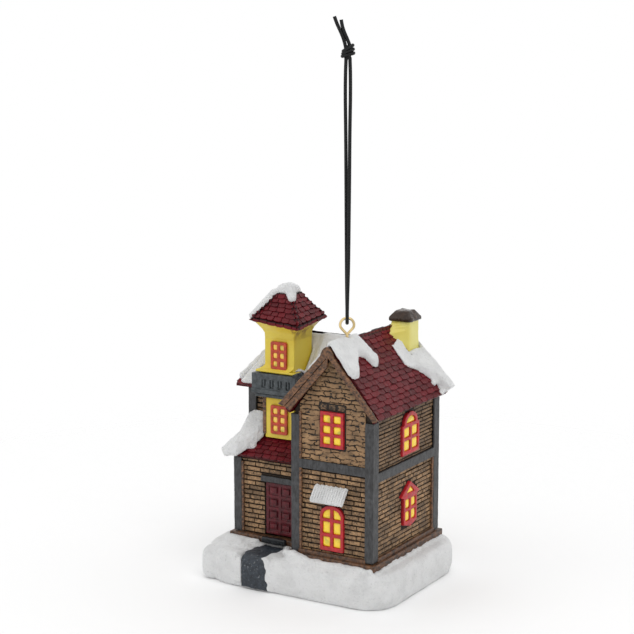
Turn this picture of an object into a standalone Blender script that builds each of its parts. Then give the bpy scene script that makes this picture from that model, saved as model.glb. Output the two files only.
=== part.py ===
"""Light-up Christmas house ornament: a small painted house with a light unit in its base.

World frame: metres, +Z up, front of the house towards -Y, its right side towards +X.
The origin is at the centre of the base's underside.
"""

from math import ceil, cos, floor, pi, radians, sin, tan

import bmesh
import bpy
from mathutils import Matrix, Vector

# Fits
GAP = 0.0003
FINISH_PROUD = 0.0006
CUT_OVER = 0.004
WELD_DISTANCE = 0.000005
FLAT_ANGLE = 0.001
SMOOTH_ANGLE = radians(40.0)

# Base
BASE_WIDTH = 0.0626
BASE_DEPTH = 0.0494
BASE_WEB = 0.0011
BASE_CORNER = 0.0095
BASE_LEFT_CORNER = 0.0130
BASE_EDGE_ROUND = 0.0026
BASE_FOOT_INSET = 0.0009
CORNER_STEPS = 6
EDGE_STEPS = 3

# Main block, measured over its corner posts; margins are to the base's edges
MAIN_RIGHT_MARGIN = 0.0057
MAIN_FRONT_MARGIN = 0.0046
MAIN_WIDTH = 0.0260
MAIN_DEPTH = 0.0395
MAIN_WALL_HEIGHT = 0.0404
WALL_THICKNESS = 0.0020
BRICK_COURSE = 0.0014
JOINT_HEIGHT = 0.0004
JOINT_DEPTH = 0.0004
SILL_HEIGHT = 0.0018
SILL_PROUD = 0.0010

# Wing: heights are above the sill
WING_WIDTH = 0.0243
WING_SETBACK = 0.0078
WING_DEPTH = 0.0273
PORCH_DEPTH = 0.0080
PORCH_WALL_HEIGHT = 0.0222
WING_LOWER_HEIGHT = 0.0238
WING_WALL_HEIGHT = 0.0410

# Timber: the main block's beams are above the sill, the wing's above its lower walls
POST_WIDTH = 0.0026
POST_SIDE_WIDTH = 0.0032
FRONT_BEAM_RISE = 0.0254
SIDE_BEAM_RISE = 0.0235
WING_BEAM_LIFT = 0.0004
BEAM_HEIGHT = 0.0026

# Roofs
ROOF_PITCH = radians(53.0)
ROOF_THICKNESS = 0.0016
ROOF_OVERHANG = 0.0015
VERGE_OVERHANG = 0.0014
REAR_VERGE_OVERHANG = 0.0019
BARGEBOARD_THICKNESS = 0.0009
LEFT_BARGEBOARD_WIDTH = 0.0030
RIGHT_BARGEBOARD_WIDTH = 0.0020
REAR_BARGEBOARD_WIDTH = 0.0020
BARGEBOARD_GROOVE = 0.0004
WING_EAVE_OVERHANG = 0.0017
WING_LEFT_OVERHANG = 0.0030
WING_ROOF_EDGE = 0.0008
WING_RIDGE_WIDTH = 0.0006
PORCH_PITCH = radians(40.0)
PORCH_EAVE_OVERHANG = 0.0014
PORCH_ROOF_THICKNESS = 0.0014

# Tower
TOWER_INSET = 0.0081
BAY_REACH = 0.0036
TOWER_SIDE = 0.0098
TOWER_WALL = 0.0014
TOWER_ROOM_HEIGHT = 0.0175
CORNICE_HEIGHT = 0.0018
CORNICE_FLARE = 0.0018
TOWER_ROOF_SIDE = 0.0147
TOWER_ROOF_EDGE = 0.0009
TOWER_ROOF_HEIGHT = 0.0073
TOWER_ROOF_TOP_SIDE = 0.0054

# Balcony
BALCONY_LEFT_REACH = 0.0032
BALCONY_RIGHT_REACH = 0.0016
BALCONY_FRONT_REACH = 0.0022
BALCONY_HEIGHT = 0.0058
BALCONY_FLOOR_THICKNESS = 0.0009
BALCONY_FLOOR_INSET = 0.0008
DECK_THICKNESS = 0.0006
SLOT_COUNT = 4
SLOT_PITCH = 0.0027
SLOT_WIDTH = 0.0013
SLOT_HEIGHT = 0.0025
SLOT_DEPTH = 0.0005

# Windows: each sill is above the foot of its wall
FRAME_THICKNESS = 0.0008
FRAME_BAR = 0.0009
PANE_THICKNESS = 0.0011
FRONT_WINDOW_WIDTH = 0.0072
FRONT_LOWER_SILL = 0.0018
FRONT_LOWER_HEIGHT = 0.0126
FRONT_LOWER_ARCH = 0.0026
FRONT_UPPER_SILL = 0.0310
FRONT_UPPER_HEIGHT = 0.0099
SIDE_WINDOW_WIDTH = 0.0104
SIDE_WINDOW_SETBACK = 0.0219
SIDE_LOWER_SILL = 0.0054
SIDE_LOWER_HEIGHT = 0.0128
SIDE_LOWER_PEAK = 0.0030
SIDE_UPPER_SILL = 0.0266
SIDE_UPPER_HEIGHT = 0.0118
SIDE_UPPER_ARCH = 0.0030
TOWER_WINDOW_WIDTH = 0.0054
TOWER_WINDOW_SILL = 0.0067
TOWER_WINDOW_HEIGHT = 0.0082
BAY_WINDOW_WIDTH = 0.0060
BAY_WINDOW_SILL = 0.0293
BAY_WINDOW_HEIGHT = 0.0081
ARCH_STEPS = 8

# Awning
AWNING_WIDTH = 0.0104
AWNING_REACH = 0.0034
AWNING_DROP = 0.0042
AWNING_THICKNESS = 0.0010
AWNING_RIB_DEPTH = 0.0004
AWNING_RIBS = 7
AWNING_RISE = 0.0054

# Door and path
DOOR_INSET = 0.0105
DOOR_WIDTH = 0.0092
DOOR_HEIGHT = 0.0152
DOOR_THICKNESS = 0.0012
DOOR_PANEL_DEPTH = 0.0003
LINTEL_HEIGHT = 0.0017
LINTEL_REACH = 0.0013
PATH_WIDTH = 0.0080
PATH_THICKNESS = 0.0012
PATH_SHIFT = -0.0011
PATH_DRIFT = 0.0012
PATH_FOOT = 0.0006
PATH_SUNK = 0.0001
STEP_REACH = 0.0014
STEP_ROUND = 0.0003

# Chimney: its left side is left of the ridge; the front left corner of its foot runs further forward
CHIMNEY_WIDTH = 0.0060
CHIMNEY_DEPTH = 0.0059
CHIMNEY_OFFSET = 0.0004
CHIMNEY_SETBACK = 0.0002
CHIMNEY_RISE = 0.0018
CHIMNEY_FLARE = 0.0013
CHIMNEY_FORWARD_FLARE = 0.0030
CHIMNEY_FLARE_DROP = 0.0025
CHIMNEY_CAP_PROUD = 0.0006
CHIMNEY_CAP_EDGE = 0.0010
CHIMNEY_CAP_HEIGHT = 0.0030
CHIMNEY_CAP_TAPER = 0.0015

# Snow
RIDGE_SNOW_THICKNESS = 0.0017
CHIMNEY_SNOW_TOP = 0.0024
CHIMNEY_SNOW_MIDDLE = 0.0095
WING_SNOW_THICKNESS = 0.0016
WING_SNOW_INSET = 0.0022
WING_SNOW_LENGTH = 0.0150
VALLEY_SNOW_FOOT = 0.0003
MAIN_BANK_REACH = 0.0017
WING_BANK_REACH = 0.0034
BANK_CREST = 0.33
BANK_SHOULDER = 0.80
TOWER_CAP_HEIGHT = 0.0026
TOWER_CAP_OVER = 0.0004

# The ridge snow's edge: distance right of the ridge and behind the front verge
RIDGE_SNOW_EDGE = (
    (-0.0012, 0.0150),
    (-0.0066, 0.0138),
    (-0.0112, 0.0076),
    (-0.0112, 0.0003),
    (0.0062, 0.0003),
    (0.0074, 0.0020),
    (0.0074, 0.0040),
    (0.0052, 0.0060),
    (0.0038, 0.0086),
    (0.0044, 0.0106),
    (0.0064, 0.0124),
    (0.0066, 0.0148),
    (0.0060, 0.0158),
    (0.0046, 0.0146),
    (0.0024, 0.0134),
)

# The chimney snow's edge: distance right of the ridge and in front of the rear verge
CHIMNEY_SNOW_EDGE = (
    (0.0024, 0.0136),
    (0.0068, 0.0130),
    (0.0084, 0.0104),
    (0.0106, 0.0066),
    (0.0130, 0.0030),
    (0.0180, 0.0018),
    (0.0180, 0.0000),
    (0.0052, 0.0000),
    (0.0030, 0.0070),
)

# The chimney snow's sections: distance in front of the rear verge, then depth at its top, half-way
# down and at the eave
CHIMNEY_SNOW_SECTIONS = (
    (0.0150, 0.0005, 0.0007, 0.0007),
    (0.0070, 0.0005, 0.0016, 0.0018),
    (0.0000, 0.0006, 0.0029, 0.0038),
)

# The porch drift's sections: distance left of the tower, reach past the eave, distance from the
# upper wall, depth in front and depth behind
PORCH_DRIFT = (
    (0.0003, -0.0054, 0.0, 0.0014, 0.0028),
    (0.0022, -0.0032, 0.0, 0.0028, 0.0044),
    (0.0060, 0.0008, 0.0, 0.0032, 0.0042),
    (0.0100, 0.0010, 0.0010, 0.0034, 0.0040),
    (0.0120, -0.0006, 0.0036, 0.0018, 0.0022),
)
DRIFT_SHOULDER = 0.0009

# The tower cap's rings: share of its height and of its width
TOWER_CAP_RINGS = ((0.0, 0.94), (0.25, 1.0), (0.7, 0.86), (1.0, 0.45))
TOWER_CAP_ROUND = 0.6

# Light unit: its middle is left of the ridge
UNIT_OFFSET = 0.0056
UNIT_Y = 0.0
UNIT_RECESS = 0.0005
UNIT_FLOOR = 0.0015
UNIT_WALL = 0.0011
UNIT_WEB = 0.0005
CELL_RADIUS = 0.0100
CELL_THICKNESS = 0.0032
CELL_PLAY = 0.0010
CELL_SHIFT = -0.0026
COVER_THICKNESS = 0.0018
COVER_MARGIN = 0.0006
LUG_REACH = 0.0009
LIP_THICKNESS = 0.0008
LUG_LENGTH = 0.0030
COIN_SLOT_LENGTH = 0.0090
COIN_SLOT_WIDTH = 0.0014
COIN_SLOT_DEPTH = 0.0007
COVER_TURN = radians(40.0)
BOARD_RADIUS = 0.0122
BOARD_THICKNESS = 0.0008
LED_RADIUS = 0.0015
LED_HEIGHT = 0.0044
LED_FLANGE_RADIUS = 0.0019
LED_FLANGE_HEIGHT = 0.0008
LED_STEPS = 6
LIGHT_HOLE_RADIUS = 0.0070
CONTACT_THICKNESS = 0.0003
CONTACT_WIDTH = 0.0040
CONTACT_LENGTH = 0.0080
SWITCH_WALL = 0.0010
SWITCH_WIDTH = 0.0034
SWITCH_LENGTH = 0.0086
SWITCH_HEIGHT = 0.0034
KNOB_WIDTH = 0.0014
KNOB_LENGTH = 0.0026
KNOB_RECESS = 0.0002
SWITCH_TRAVEL = 0.0020
ROUND_SIDES = 40

# Hanging eye and cord
EYE_SETBACK = 0.0083
EYE_WIRE = 0.0008
EYE_RING = 0.0038
EYE_RING_RISE = 0.0043
EYE_SHANK_DEPTH = 0.0060
EYE_TURN = radians(30.8)
EYE_STEPS = 18
CORD_DIAMETER = 0.0010
CORD_STEP = 0.0022
KNOT_WIDTH = 0.0040
KNOT_DEPTH = 0.0034
KNOT_HEIGHT = 0.0036
KNOT_SIDES = 12
KNOT_LEVELS = 8
ROUTE_STEPS = 12
TAIL_LENGTH = 0.0080
TAIL_SPREAD = 0.0013
TAIL_STAGGER = 0.0009
TAIL_LEANS = (-0.30, -0.20)

# The cord's route: height above the middle of the eye's ring, sideways and fore-and-aft offset from
# the eye's axis, in metres
CORD_ROUTE = (
    (0.0719, -0.0008, 0.0000),
    (0.0677, -0.0009, 0.0001),
    (0.0617, -0.0008, 0.0002),
    (0.0517, -0.0006, 0.0004),
    (0.0397, -0.0004, 0.0005),
    (0.0277, -0.0003, 0.0006),
    (0.0167, -0.0002, 0.0008),
    (0.0087, -0.0001, 0.0009),
    (0.0039, 0.0000, 0.0012),
    (0.0024, 0.0000, 0.0013),
    (0.0011, 0.0000, 0.0010),
    (0.0005, 0.0000, 0.0000),
    (0.0011, 0.0000, -0.0010),
    (0.0024, 0.0000, -0.0013),
    (0.0039, 0.0000, -0.0012),
    (0.0087, 0.0001, -0.0009),
    (0.0167, 0.0003, -0.0007),
    (0.0277, 0.0004, -0.0006),
    (0.0397, 0.0005, -0.0005),
    (0.0517, 0.0007, -0.0004),
    (0.0617, 0.0009, -0.0002),
    (0.0677, 0.0009, -0.0001),
    (0.0719, 0.0008, 0.0000),
)

# Derived places: the light unit and the base's top
UNIT_BOTTOM = UNIT_RECESS
CELL_BOTTOM = UNIT_BOTTOM + COVER_THICKNESS + GAP
WELL_TOP = CELL_BOTTOM + CELL_THICKNESS + GAP + CONTACT_THICKNESS + GAP
BOARD_BOTTOM = WELL_TOP + UNIT_WEB + GAP
BOARD_TOP = BOARD_BOTTOM + BOARD_THICKNESS
UNIT_TOP = BOARD_TOP + GAP
COVER_RADIUS = CELL_RADIUS + CELL_PLAY + COVER_MARGIN
GROOVE_RADIUS = COVER_RADIUS + LUG_REACH + GAP
UNIT_RADIUS = GROOVE_RADIUS - CELL_SHIFT + UNIT_WALL
BASE_HEIGHT = UNIT_TOP + GAP + BASE_WEB
SILL_BOTTOM = BASE_HEIGHT + GAP
SILL_TOP = SILL_BOTTOM + SILL_HEIGHT
WALL_BOTTOM = SILL_TOP + GAP

# Derived places: the main block, the light unit below it and its roof
MAIN_RIGHT = BASE_WIDTH / 2 - MAIN_RIGHT_MARGIN
MAIN_FRONT = -BASE_DEPTH / 2 + MAIN_FRONT_MARGIN
MAIN_LEFT = MAIN_RIGHT - MAIN_WIDTH
MAIN_REAR = MAIN_FRONT + MAIN_DEPTH
RIDGE_X = MAIN_RIGHT - MAIN_WIDTH / 2
UNIT_X = RIDGE_X - UNIT_OFFSET
CELL_X = UNIT_X + CELL_SHIFT
SWITCH_X = CELL_X + GROOVE_RADIUS + SWITCH_WALL + GAP + SWITCH_WIDTH / 2
WALL_INSET = GAP + FINISH_PROUD
WALL_RIGHT = MAIN_RIGHT - WALL_INSET
WALL_LEFT = MAIN_LEFT + WALL_INSET
WALL_FRONT = MAIN_FRONT + WALL_INSET
WALL_REAR = MAIN_REAR - WALL_INSET
WALL_TOP = WALL_BOTTOM + MAIN_WALL_HEIGHT
ROOF_RISE = tan(ROOF_PITCH)
ROOF_DEPTH = ROOF_THICKNESS / cos(ROOF_PITCH)
ROOF_LEFT = MAIN_LEFT - ROOF_OVERHANG
ROOF_RIGHT = MAIN_RIGHT + ROOF_OVERHANG
RIDGE_UNDER = WALL_TOP + (RIDGE_X - WALL_LEFT) * ROOF_RISE + GAP / cos(ROOF_PITCH)
RIDGE_TOP = RIDGE_UNDER + ROOF_DEPTH
VERGE_FRONT = WALL_FRONT - VERGE_OVERHANG
VERGE_REAR = WALL_REAR + REAR_VERGE_OVERHANG
CHIMNEY_LEFT = RIDGE_X - CHIMNEY_OFFSET
CHIMNEY_REAR = VERGE_REAR - CHIMNEY_SETBACK
CHIMNEY_TOP = RIDGE_TOP + CHIMNEY_RISE
CHIMNEY_FLARE_TOP = RIDGE_TOP - CHIMNEY_FLARE_DROP
EYE_Y = MAIN_FRONT + EYE_SETBACK
EYE_RING_HEIGHT = RIDGE_TOP + EYE_RING_RISE

# Derived places: the wing, the tower and the door
WING_LEFT = MAIN_LEFT - WING_WIDTH
WING_FRONT = MAIN_FRONT + WING_SETBACK
WING_REAR = WING_FRONT + WING_DEPTH
WING_UPPER_FRONT = WING_FRONT + PORCH_DEPTH
WING_WALL_LEFT = WING_LEFT + WALL_INSET
WING_WALL_FRONT = WING_FRONT + WALL_INSET
WING_WALL_REAR = WING_REAR - WALL_INSET
WING_UPPER_WALL_FRONT = WING_UPPER_FRONT + WALL_INSET
WING_END = WALL_LEFT - GAP
WING_LOWER_TOP = WALL_BOTTOM + WING_LOWER_HEIGHT
WING_WALL_TOP = WALL_BOTTOM + WING_WALL_HEIGHT
PORCH_WALL_TOP = WALL_BOTTOM + PORCH_WALL_HEIGHT
PORCH_EAVE = WING_FRONT - PORCH_EAVE_OVERHANG
PORCH_DEPTH_UP = PORCH_ROOF_THICKNESS / cos(PORCH_PITCH)
WING_ROOF_LEFT = WING_LEFT - WING_LEFT_OVERHANG
WING_ROOF_FRONT = WING_UPPER_FRONT - WING_EAVE_OVERHANG
WING_ROOF_REAR = WING_REAR + WING_EAVE_OVERHANG
WING_ROOF_RUN = (WING_ROOF_REAR - WING_ROOF_FRONT - WING_RIDGE_WIDTH) / 2
WING_EAVE_TOP = WING_WALL_TOP + GAP + WING_ROOF_EDGE
BALCONY_BOTTOM = WING_WALL_TOP
BALCONY_TOP = BALCONY_BOTTOM + BALCONY_HEIGHT
TOWER_LEFT = WING_LEFT + TOWER_INSET
TOWER_FRONT = WING_UPPER_FRONT - BAY_REACH
TOWER_RIGHT = TOWER_LEFT + TOWER_SIDE
TOWER_REAR = TOWER_FRONT + TOWER_SIDE
TOWER_X = TOWER_LEFT + TOWER_SIDE / 2
TOWER_Y = TOWER_FRONT + TOWER_SIDE / 2
TOWER_BOTTOM = BALCONY_BOTTOM + GAP
TOWER_TOP = TOWER_BOTTOM + TOWER_ROOM_HEIGHT
BALCONY_FRONT = TOWER_FRONT - BALCONY_FRONT_REACH
BALCONY_REAR = WING_UPPER_WALL_FRONT - GAP
DOOR_LEFT = WING_LEFT + DOOR_INSET
DOOR_MIDDLE = DOOR_LEFT + DOOR_WIDTH / 2
PATH_MIDDLE = DOOR_MIDDLE + PATH_SHIFT
PATH_REAR = WING_FRONT - SILL_PROUD - GAP

parts = bpy.data.collections.new("light_up_christmas_house")
cutters = bpy.data.collections.new("cutters")
materials = {}


def clear_scene():
    """Remove what the scene holds and link the two collections."""
    for old in list(bpy.data.objects):
        bpy.data.objects.remove(old, do_unlink=True)
    bpy.context.scene.collection.children.link(parts)
    bpy.context.scene.collection.children.link(cutters)


def add_material(name, colour, roughness, metallic=0.0, emission=0.0):
    """Make a Principled material with one colour."""
    material = bpy.data.materials.new(name)
    material.use_nodes = True
    shader = material.node_tree.nodes["Principled BSDF"]
    shader.inputs["Base Color"].default_value = (*colour, 1.0)
    shader.inputs["Roughness"].default_value = roughness
    shader.inputs["Metallic"].default_value = metallic
    shader.inputs["Emission Color"].default_value = (*colour, 1.0)
    shader.inputs["Emission Strength"].default_value = emission
    materials[name] = material


def add_materials():
    """Make every material of the house."""
    add_material("snow_white", (0.86, 0.87, 0.88), 0.75)
    add_material("brick_tan", (0.24, 0.14, 0.075), 0.70)
    add_material("timber_grey", (0.045, 0.047, 0.052), 0.60)
    add_material("slate_grey", (0.05, 0.055, 0.065), 0.60)
    add_material("roof_burgundy", (0.13, 0.014, 0.018), 0.35)
    add_material("wood_brown", (0.17, 0.095, 0.05), 0.65)
    add_material("wall_yellow", (0.72, 0.55, 0.035), 0.45)
    add_material("frame_red", (0.55, 0.03, 0.02), 0.45)
    add_material("frame_orange", (0.70, 0.09, 0.02), 0.45)
    add_material("pane_amber", (0.95, 0.66, 0.06), 0.40, emission=0.4)
    add_material("door_burgundy", (0.085, 0.014, 0.014), 0.50)
    add_material("cap_brown", (0.03, 0.02, 0.014), 0.20)
    add_material("eye_brass", (0.72, 0.58, 0.30), 0.25, metallic=1.0)
    add_material("cord_black", (0.012, 0.012, 0.013), 0.60)
    add_material("plastic_black", (0.02, 0.02, 0.022), 0.45)
    add_material("plastic_white", (0.80, 0.80, 0.78), 0.45)
    add_material("board_green", (0.02, 0.16, 0.06), 0.50)
    add_material("cell_steel", (0.60, 0.60, 0.62), 0.25, metallic=1.0)
    add_material("contact_steel", (0.55, 0.55, 0.53), 0.30, metallic=1.0)
    add_material("led_clear", (0.95, 0.90, 0.72), 0.15, emission=1.0)


def store(name, mesh, material, collection=parts):
    """Put a mesh in the scene as a named object."""
    obj = bpy.data.objects.new(name, mesh)
    collection.objects.link(obj)
    if collection is cutters:
        obj.hide_render = True
        obj.display_type = "WIRE"
    else:
        mesh.materials.append(materials[material])
    return obj


def mesh_from(name, bm):
    """Turn a bmesh with outward faces into a mesh."""
    bmesh.ops.recalc_face_normals(bm, faces=bm.faces)
    mesh = bpy.data.meshes.new(name)
    bm.to_mesh(mesh)
    bm.free()
    return mesh


def box(name, low, high, material=None, collection=parts, bevel=0.0):
    """A box between two corners, with its edges rounded by bevel."""
    low = Vector(low)
    size = Vector(high) - low
    bm = bmesh.new()
    bmesh.ops.create_cube(bm, size=1.0)
    bmesh.ops.scale(bm, vec=size, verts=bm.verts)
    obj = store(name, mesh_from(name, bm), material, collection)
    obj.location = low + size / 2
    if bevel:
        round_edges(obj, bevel)
    return obj


def round_edges(obj, width, segments=2, angle=SMOOTH_ANGLE):
    """Round an object's sharp edges."""
    modifier = obj.modifiers.new("rounded edges", "BEVEL")
    modifier.width = width
    modifier.segments = segments
    modifier.limit_method = "ANGLE"
    modifier.angle_limit = angle


def cylinder(name, centre, radius, low, high, material=None, collection=parts, top_radius=None):
    """An upright cylinder or cone between two heights."""
    bm = bmesh.new()
    bmesh.ops.create_cone(
        bm,
        cap_ends=True,
        segments=ROUND_SIDES,
        radius1=radius,
        radius2=radius if top_radius is None else top_radius,
        depth=high - low,
    )
    obj = store(name, mesh_from(name, bm), material, collection)
    obj.location = (centre[0], centre[1], (low + high) / 2)
    obj.data.shade_smooth()
    obj.data.set_sharp_from_angle(angle=SMOOTH_ANGLE)
    return obj


def plane_matrix(axis, middle):
    """The matrix that turns a flat outline to face along an axis, at a place on it."""
    turns = {
        "X": Matrix(((0, 0, 1), (1, 0, 0), (0, 1, 0))),
        "Y": Matrix(((1, 0, 0), (0, 0, -1), (0, 1, 0))),
        "Z": Matrix.Identity(3),
    }
    place = {"X": (middle, 0, 0), "Y": (0, middle, 0), "Z": (0, 0, middle)}
    return Matrix.Translation(place[axis]) @ turns[axis].to_4x4()


def plate_mesh(name, outlines, thickness):
    """A flat plate from closed outlines, the first outside and the rest holes, as a welded mesh."""
    curve = bpy.data.curves.new(name, "CURVE")
    curve.dimensions = "2D"
    curve.fill_mode = "BOTH"
    curve.extrude = thickness / 2
    for outline in outlines:
        spline = curve.splines.new("POLY")
        spline.points.add(len(outline) - 1)
        for point, (u, v) in zip(spline.points, outline):
            point.co = (u, v, 0.0, 1.0)
        spline.use_cyclic_u = True
    source = bpy.data.objects.new(name, curve)
    cutters.objects.link(source)
    bpy.context.view_layer.update()
    evaluated = source.evaluated_get(bpy.context.evaluated_depsgraph_get())
    mesh = bpy.data.meshes.new_from_object(evaluated)
    bpy.data.objects.remove(source, do_unlink=True)
    bm = bmesh.new()
    bm.from_mesh(mesh)
    bmesh.ops.remove_doubles(bm, verts=bm.verts, dist=WELD_DISTANCE)
    bmesh.ops.dissolve_limit(bm, angle_limit=FLAT_ANGLE, verts=bm.verts, edges=bm.edges)
    bpy.data.meshes.remove(mesh)
    return mesh_from(name, bm)


def plate(name, axis, outlines, low, high, material=None, collection=parts):
    """A plate between two places on an axis, with its outlines in the other two directions."""
    obj = store(name, plate_mesh(name, outlines, high - low), material, collection)
    obj.matrix_world = plane_matrix(axis, (low + high) / 2)
    return obj


def slab(name, outlines, matrix, low, high, material):
    """A plate on a slope: matrix takes the outline's plane to the slope, low and high lie above it."""
    obj = store(name, plate_mesh(name, outlines, high - low), material)
    obj.matrix_world = matrix @ Matrix.Translation((0, 0, (low + high) / 2))
    return obj


def cut(obj, cutter, operation="DIFFERENCE"):
    """Cut an object, or join it, with a cutter."""
    modifier = obj.modifiers.new(cutter.name, "BOOLEAN")
    modifier.operation = operation
    modifier.solver = "EXACT"
    modifier.object = cutter


def rectangle(left, bottom, right, top):
    """The corners of a rectangle."""
    return [(left, bottom), (right, bottom), (right, top), (left, top)]


def rounded_rectangle(half_width, half_depth, corners):
    """A rectangle about the origin with its own radius at each corner, from the front left round."""
    signs = ((-1, -1), (1, -1), (1, 1), (-1, 1))
    points = []
    for number, ((sx, sy), radius) in enumerate(zip(signs, corners)):
        centre_x = sx * (half_width - radius)
        centre_y = sy * (half_depth - radius)
        start = pi + number * pi / 2
        for step in range(CORNER_STEPS + 1):
            angle = start + step * pi / 2 / CORNER_STEPS
            points.append((centre_x + radius * cos(angle), centre_y + radius * sin(angle)))
    return points


def window_outline(centre, bottom, width, height, head, rise):
    """A window's outline with a flat, arched or peaked head that rises at its middle."""
    left = centre - width / 2
    right = centre + width / 2
    shoulder = bottom + height - rise
    if head == "arch":
        points = [(left, bottom), (right, bottom)]
        for step in range(ARCH_STEPS + 1):
            angle = pi * step / ARCH_STEPS
            points.append((centre + width / 2 * cos(angle), shoulder + rise * sin(angle)))
        return points
    if head == "peak":
        foot = [(left, bottom), (right, bottom)]
        return foot + [(right, shoulder), (centre, bottom + height), (left, shoulder)]
    return rectangle(left, bottom, right, bottom + height)


def pane_holes(centre, bottom, width, height, columns, rows, bar):
    """The light openings of a window frame, between its bars."""
    hole_width = (width - (columns + 1) * bar) / columns
    hole_height = (height - (rows + 1) * bar) / rows
    holes = []
    for column in range(columns):
        left = centre - width / 2 + bar + column * (hole_width + bar)
        for row in range(rows):
            low = bottom + bar + row * (hole_height + bar)
            holes.append(rectangle(left, low, left + hole_width, low + hole_height))
    return holes


def add_window(name, wall, axis, face, outward, size, head, rows, frame_material):
    """A frame on a wall's face and an amber pane in the wall's opening behind it."""
    centre, bottom, width, height = size
    shape, rise = head
    near = face + outward * GAP
    far = near + outward * FRAME_THICKNESS
    holes = pane_holes(centre, bottom, width, height - rise, 2, rows, FRAME_BAR)
    outlines = [window_outline(centre, bottom, width, height, shape, rise)] + holes
    plate(name + "_frame", axis, outlines, min(near, far), max(near, far), frame_material)
    back = face - outward * PANE_THICKNESS
    for suffix, margin in (("_pane", FRAME_BAR / 2), ("_opening", FRAME_BAR / 2 - GAP)):
        low = bottom + margin
        outlines = [window_outline(centre, low, width - 2 * margin, height - 2 * margin, shape, rise)]
        if suffix == "_pane":
            plate(name + suffix, axis, outlines, min(face, back), max(face, back), "pane_amber")
        else:
            start = face - CUT_OVER
            cut(wall, plate(name + suffix, axis, outlines, start, face + CUT_OVER, collection=cutters))


def loft(name, rings, material=None, collection=parts):
    """A closed solid through rings of as many points, closed at both ends."""
    bm = bmesh.new()
    levels = [[bm.verts.new(point) for point in ring] for ring in rings]
    for lower, upper in zip(levels, levels[1:]):
        for index, vert in enumerate(lower):
            after = (index + 1) % len(lower)
            bm.faces.new((vert, lower[after], upper[after], upper[index]))
    bm.faces.new(levels[0])
    bm.faces.new(levels[-1])
    return store(name, mesh_from(name, bm), material, collection)


def at_height(outline, height):
    """A flat outline as points at one height."""
    return [(x, y, height) for x, y in outline]


def turned(name, centre, profile, material):
    """A turned solid from a profile of radius and height that runs from its top down to its foot."""
    mesh = bpy.data.meshes.new(name)
    edges = [(index, index + 1) for index in range(len(profile) - 1)]
    mesh.from_pydata([(radius, 0.0, height) for radius, height in profile], edges, [])
    obj = store(name, mesh, material)
    obj.location = (centre[0], centre[1], 0.0)
    screw = obj.modifiers.new("turn", "SCREW")
    screw.steps = ROUND_SIDES // 2
    screw.render_steps = ROUND_SIDES // 2
    screw.use_merge_vertices = True
    screw.merge_threshold = WELD_DISTANCE
    screw.use_smooth_shade = True
    return obj


def tube(name, points, diameter, material, collection=parts):
    """A round wire or cord through its points, with closed ends."""
    curve = bpy.data.curves.new(name, "CURVE")
    curve.dimensions = "3D"
    curve.bevel_depth = diameter / 2
    curve.bevel_resolution = 2
    curve.use_fill_caps = True
    spline = curve.splines.new("POLY")
    spline.points.add(len(points) - 1)
    for target, point in zip(spline.points, points):
        target.co = (*point, 1.0)
    obj = bpy.data.objects.new(name, curve)
    collection.objects.link(obj)
    if collection is parts:
        curve.materials.append(materials[material])
    return obj


def add_base():
    """The snowy plinth, hollow below for the light unit, with a channel for the path."""
    profile = [(BASE_FOOT_INSET, 0.0), (0.0, BASE_EDGE_ROUND)]
    for step in range(EDGE_STEPS + 1):
        angle = step * pi / 2 / EDGE_STEPS
        height = BASE_HEIGHT - BASE_EDGE_ROUND * (1 - sin(angle))
        profile.append((BASE_EDGE_ROUND * (1 - cos(angle)), height))
    rings = []
    for inset, height in profile:
        radii = (BASE_LEFT_CORNER - inset,) + (BASE_CORNER - inset,) * 3
        outline = rounded_rectangle(BASE_WIDTH / 2 - inset, BASE_DEPTH / 2 - inset, radii)
        rings.append(at_height(outline, height))
    base = loft("base_plinth", rings, "snow_white")
    centre = (UNIT_X, UNIT_Y)
    socket_radius = UNIT_RADIUS + GAP
    over = BASE_HEIGHT + CUT_OVER
    cut(base, cylinder("unit_socket", centre, socket_radius, -CUT_OVER, UNIT_TOP + GAP, collection=cutters))
    cut(base, cylinder("light_hole", centre, LIGHT_HOLE_RADIUS, 0.0, over, collection=cutters))
    cut(base, path_strip("path_channel", GAP, CUT_OVER, None, cutters))


def base_edge(offset):
    """Points over the base's rounded front edge, set outward by offset."""
    radius = BASE_EDGE_ROUND + offset
    middle = -BASE_DEPTH / 2 + BASE_EDGE_ROUND
    level = BASE_HEIGHT - BASE_EDGE_ROUND
    points = []
    for step in range(EDGE_STEPS + 1):
        angle = step * pi / 2 / EDGE_STEPS
        points.append((middle - radius * cos(angle), level + radius * sin(angle)))
    return points


def path_strip(name, clearance, over, material, collection=parts):
    """The path's strip over the base's top and down its front, drifting to the right."""
    rear = PATH_REAR + clearance
    foot = PATH_FOOT - clearance
    inner = base_edge(-PATH_THICKNESS - clearance)
    outer = base_edge(over - PATH_SUNK)
    inner_foot = (inner[0][0], foot)
    outer_foot = (outer[0][0], foot)
    rear_end = [(rear, inner[-1][1]), (rear, outer[-1][1])]
    outline = [inner_foot] + inner + rear_end + outer[::-1] + [outer_foot]
    half = PATH_WIDTH / 2 + clearance
    strip = plate(name, "X", [outline], PATH_MIDDLE - half, PATH_MIDDLE + half, material, collection)
    lean = Matrix.Identity(4)
    lean[2][0] = -PATH_DRIFT / (PATH_REAR + BASE_DEPTH / 2)
    pivot = Matrix.Translation((PATH_REAR, 0.0, 0.0))
    strip.data.transform(pivot @ lean @ pivot.inverted())
    return strip


def add_path():
    """The slate path and the step below the door."""
    path_strip("garden_path", 0.0, 0.0, "slate_grey")
    box(
        "doorstep",
        (PATH_MIDDLE - PATH_WIDTH / 2, PATH_REAR - STEP_REACH, BASE_HEIGHT + GAP),
        (PATH_MIDDLE + PATH_WIDTH / 2, PATH_REAR, SILL_TOP),
        "slate_grey",
        bevel=STEP_ROUND,
    )


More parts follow.
